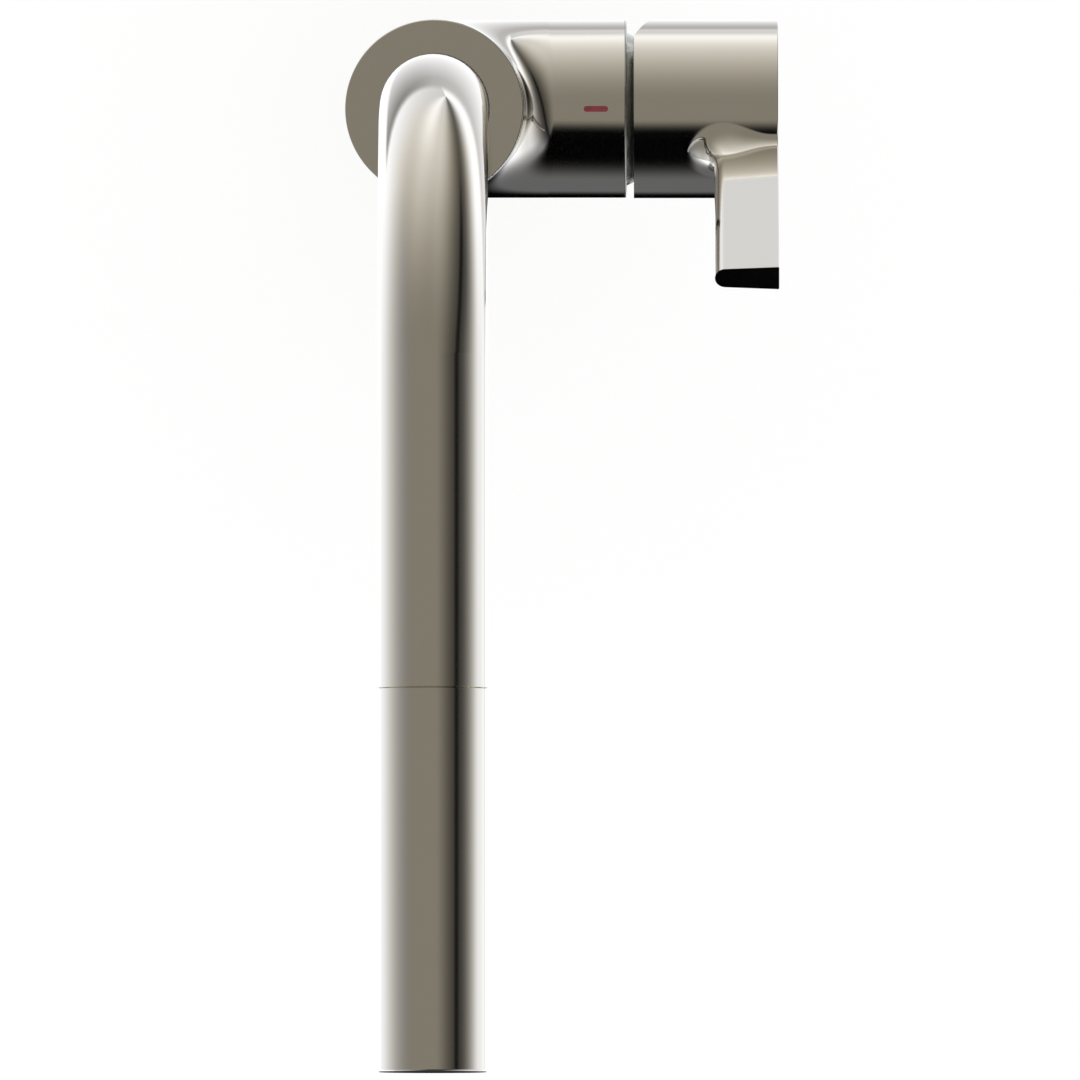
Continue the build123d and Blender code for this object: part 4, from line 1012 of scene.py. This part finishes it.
def cut_cap():
    """A copy of the handle's mesh, merged, cut across the lever inside the cap's wall and closed."""
    mesh = nodes["lever_handle"].data.copy()
    mesh.name = "lever_cap"
    edit = bmesh.new()
    edit.from_mesh(mesh)
    bmesh.ops.remove_doubles(edit, verts=edit.verts, dist=SAME_PLACE)
    where = HANDLE_ORIGIN + LEVER_WAY * CUT_PLACE
    everything = [*edit.verts, *edit.edges, *edit.faces]
    cut = bmesh.ops.bisect_plane(
        edit,
        geom=everything,
        plane_co=where,
        plane_no=LEVER_WAY,
        clear_outer=True,
        dist=SAME_PLACE / 10,
    )
    rim = [item for item in cut["geom_cut"] if isinstance(item, bmesh.types.BMEdge)]
    bmesh.ops.holes_fill(edit, edges=rim, sides=0)
    bmesh.ops.triangulate(edit, faces=edit.faces)
    edit.to_mesh(mesh)
    edit.free()
    shade_cap(mesh)
    piece = bpy.data.objects.new("lever_cap", mesh)
    bpy.context.scene.collection.objects.link(piece)
    mesh.materials.clear()
    mesh.materials.append(finishes["polished_nickel"])
    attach(piece, "handle")
    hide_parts("lever_handle")
    return piece


def shade_cap(mesh):
    """Directions by each triangle's place: radial on the skin, away from the edge's circle on the end
    face's round edge, and none of its own elsewhere, where its face decides."""
    mesh.shade_smooth()
    mesh.set_sharp_from_angle(angle=math.radians(30.0))
    local = (read_all(mesh.vertices, "co") - HANDLE_ORIGIN) @ HANDLE_AXES.T
    faces = local[read_all(mesh.loops, "vertex_index", np.int32, 1)].reshape(-1, 3, 3)
    radius, place = np.linalg.norm(faces[..., :2], axis=-1, keepdims=True), faces[..., 2:]
    radial = np.concatenate([faces[..., :2] / np.maximum(radius, 1e-9), np.zeros_like(radius)], axis=-1)
    edge_start = CAP_END - CAP_EDGE
    away = faces - radial * (CAP_RADIUS - CAP_EDGE) - np.array([0.0, 0.0, edge_start])
    away = away / np.maximum(np.linalg.norm(away, axis=-1, keepdims=True), 1e-9)
    near = 0.06 * MM  # a little more than the mesh's flat faces miss the round by
    skin = (np.abs(radius - CAP_RADIUS) < near).all(axis=1) & (place < edge_start + near).all(axis=1)
    edge = (radius > CAP_RADIUS - CAP_EDGE - near).all(axis=1) & (place > edge_start - near).all(axis=1)
    ways = np.where(skin[:, None], radial, np.where(edge[:, None], away, 0.0))
    mesh.normals_split_custom_set((ways.reshape(-1, 3) @ HANDLE_AXES).tolist())


print("cap triangles", triangles(cut_cap()))

# %% [markdown]
# ## The threaded shank
# Under the foot a threaded brass tube passes through the deck, and washers and a nut clamp it. A real
# thread is a ridge that winds up the tube. Here each row of points is one turn of the helix, at a
# root, a crest or between them, so that every ridge is sharp with few faces. A row ends one pitch
# above its start, where the fourth row after it starts, so the merged seam joins turn to turn.

# %% Shank
THREAD_PITCH = 1.5 * MM
THREAD_DEPTH = 0.85 * MM
THREAD_SIDES = 96
THREAD_UNDER = 0.02 * MM  # how far its crests stay under the solid's outside
PLAIN_TOP = 14.0 * MM  # without a thread, under the body
SHANK_WALL, SHANK_BEVEL, BORE_BEVEL = 2.45 * MM, 0.9 * MM, 0.5 * MM


def threaded_shank():
    """The outside: height = (row / 4 + turn) pitches, clipped to the shank's ends, and radius = major
    less the depth times a triangle wave of the row, with the depth fading in at both ends. Then the
    rim, the bore and the foot close the tube."""
    low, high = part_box("mounting_shank")
    major, bore = high.x - THREAD_UNDER, high.x - SHANK_WALL
    turn = np.arange(THREAD_SIDES + 1) / THREAD_SIDES
    row = np.arange(-4, int((high.z - low.z) / THREAD_PITCH * 4) + 8)[:, None]
    height = low.z + (row / 4 + turn) * THREAD_PITCH
    wave = np.abs((row % 4) / 2 - 1)
    inside = np.clip((height - low.z - SHANK_BEVEL) / THREAD_PITCH, 0, 1)
    inside = inside * np.clip((high.z - PLAIN_TOP - height) / THREAD_PITCH, 0, 1)
    taper = np.clip(SHANK_BEVEL - (height - low.z), 0, SHANK_BEVEL)
    radius = np.minimum(major - THREAD_DEPTH * wave * inside, major - taper)
    height = np.clip(height, low.z, high.z)
    circle = np.stack([np.cos(2 * np.pi * turn), np.sin(2 * np.pi * turn), np.zeros_like(turn)], axis=-1)
    up = np.array([0.0, 0.0, 1.0])
    outer = circle * radius[..., None] + height[..., None] * up
    inner = [circle * bore + level * up for level in (high.z, low.z + BORE_BEVEL)]
    foot = circle * (bore + BORE_BEVEL) + low.z * up
    shank = surface("shank_thread", np.concatenate([outer, inner, [foot]]), close_rows=True)
    shank.data.materials.append(finishes["raw_brass_upright"])
    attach(shank, "fixed_body")
    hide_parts("mounting_shank")
    return shank


print("shank triangles", triangles(threaded_shank()))

# %% [markdown]
# ## The spray hose
# The hose runs up the riser, round the bend and along the arm into the head. Inside the arm lies
# the stretch that feeds out after the head as it is pulled out. This hose is not made to follow the
# head, but its map of braid bands is made for the pulled-out hose, so the braid shows at its true size.

# %% Hose
RISER_TOP = 0.180
BEND_RADIUS = 0.065
BEND_TURN = math.radians(90.0) - ARM_RISE
PULL_LENGTH = 0.45
HOSE_SIDES, HOSE_WALL = 32, 1.5 * MM
HOSE_ROWS = (60, 48, 72)  # up the riser, round the bend and along the arm
FEED_START, FEED_MARGIN = 2.0 * MM, 5.0 * MM  # from the bend's end, and from the hose's end


def spout_line(distance, bottom):
    """Points and directions on the spout's centreline by distance from its bottom: up the riser, then
    round the bend by distance over radius, then straight along the arm."""
    riser = RISER_TOP - bottom
    angle = np.clip((distance - riser) / BEND_RADIUS, 0.0, BEND_TURN)
    past = np.maximum(distance - riser - BEND_RADIUS * BEND_TURN, 0.0)
    way = np.stack([np.zeros_like(angle), -np.sin(angle), np.cos(angle)], axis=-1)
    height = np.minimum(bottom + distance, RISER_TOP) + BEND_RADIUS * np.sin(angle)
    point = np.stack([np.zeros_like(angle), BEND_RADIUS * (np.cos(angle) - 1.0), height], axis=-1)
    return point + way * past[:, None], way


def spray_hose():
    """A tube of rings square to the centreline, with an inner wall, joined at both ends by flat rims
    as cut hose is."""
    low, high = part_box("spray_hose")
    bottom, radius, bore = low.z, high.x, high.x - HOSE_WALL
    bend_end = RISER_TOP - bottom + BEND_RADIUS * BEND_TURN
    reach_y = BEND_RADIUS * (math.cos(BEND_TURN) - 1.0) - low.y
    length = bend_end + (reach_y - radius * math.sin(ARM_RISE)) / math.cos(ARM_RISE)
    riser = np.linspace(0.0, RISER_TOP - bottom, HOSE_ROWS[0], endpoint=False)
    bend = np.linspace(RISER_TOP - bottom, bend_end, HOSE_ROWS[1], endpoint=False)
    distance = np.concatenate([riser, bend, np.linspace(bend_end, length, HOSE_ROWS[2])])
    point, way = spout_line(distance, bottom)
    side = np.array([1.0, 0.0, 0.0])
    other = np.cross(way, side)
    turn = np.arange(HOSE_SIDES + 1) / HOSE_SIDES
    angle = 2 * np.pi * turn
    rim = np.cos(angle)[None, :, None] * side + np.sin(angle)[None, :, None] * other[:, None, :]
    outer = point[:, None, :] + radius * rim
    inner = point[::-1, None, :] + bore * rim[::-1]
    start, end = bend_end + FEED_START, length - FEED_MARGIN
    share = np.clip((distance - start) / (end - start), 0.0, 1.0)
    fed = (distance + PULL_LENGTH * share * share * (3 - 2 * share)) / BAND_PITCH
    bands = np.meshgrid(np.concatenate([fed, fed[::-1]]), turn * BANDS, indexing="ij")
    chart = np.stack(bands[::-1], axis=-1)
    hose = surface("braided_hose", np.concatenate([outer, inner]), chart, close_rows=True)
    hose.data.materials.append(finishes["hose_braid"])
    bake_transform(hose)
    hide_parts("spray_hose")
    return hose


print("hose triangles", triangles(spray_hose()))

# %% [markdown]
# ## The check valve's spring
# Inside the spray head a light coil spring holds the check valve shut. It is a round wire carried
# along a helix, with its last turns closer together as on a real spring. The place of its held end
# and the share of its length left when the valve opens are worked out, but the coil is not pressed.

# %% Spring
SPRING_RADIUS, WIRE_RADIUS = 1.9 * MM, 0.25 * MM
SPRING_TURNS, VALVE_LIFT = 4.6, 1.5 * MM
CLOSING_UP = 0.09  # how much closer the coil's end turns stand
SPRING_ROWS, WIRE_COLUMNS = 240, 17


def valve_spring():
    """Centreline: radius * (cosine, sine) of the turn, and along the arm the share s of the way with
    s = t - 0.09 sin(2 pi t) of the turns' share t, which closes the coil up at both ends."""
    low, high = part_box("check_valve_spring")
    first, last = [(np.array([0.0, y, 0.0]) - SEAM)[1] / ARM_WAY[1] for y in (high.y, low.y)]
    tilt = (SPRING_RADIUS + WIRE_RADIUS) * math.tan(ARM_RISE)
    first, last = first + tilt + WIRE_RADIUS, last - tilt - WIRE_RADIUS
    share = np.linspace(0.0, 1.0, SPRING_ROWS)
    level = first + (last - first) * (share - CLOSING_UP * np.sin(2 * np.pi * share))
    angle = 2 * np.pi * SPRING_TURNS * share
    side, up = np.array([1.0, 0.0, 0.0]), np.cross(ARM_WAY, [1.0, 0.0, 0.0])
    spoke = np.cos(angle)[:, None] * side + np.sin(angle)[:, None] * up
    centre = SEAM + level[:, None] * ARM_WAY + SPRING_RADIUS * spoke
    way = np.gradient(centre, axis=0)
    across = np.cross(way / np.linalg.norm(way, axis=1, keepdims=True), spoke)
    wire = np.linspace(0.0, 2 * np.pi, WIRE_COLUMNS)[:, None]
    tube = centre[:, None] + WIRE_RADIUS * (np.cos(wire) * spoke[:, None] + np.sin(wire) * across[:, None])
    ends = [np.repeat(centre[i][None, None], WIRE_COLUMNS, axis=1) for i in (0, -1)]
    spring = surface("valve_spring", np.concatenate([ends[0], tube, ends[1]]), sharp=50.0)
    spring.data.materials.append(finishes["steel_arm"])
    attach(spring, "spray_head")
    anchor = SEAM + ARM_WAY * (last + WIRE_RADIUS)
    keep = 1.0 - VALVE_LIFT / (last - first + 2 * WIRE_RADIUS)
    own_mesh(spring)
    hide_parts("check_valve_spring")
    return spring


print("spring triangles", triangles(valve_spring()))
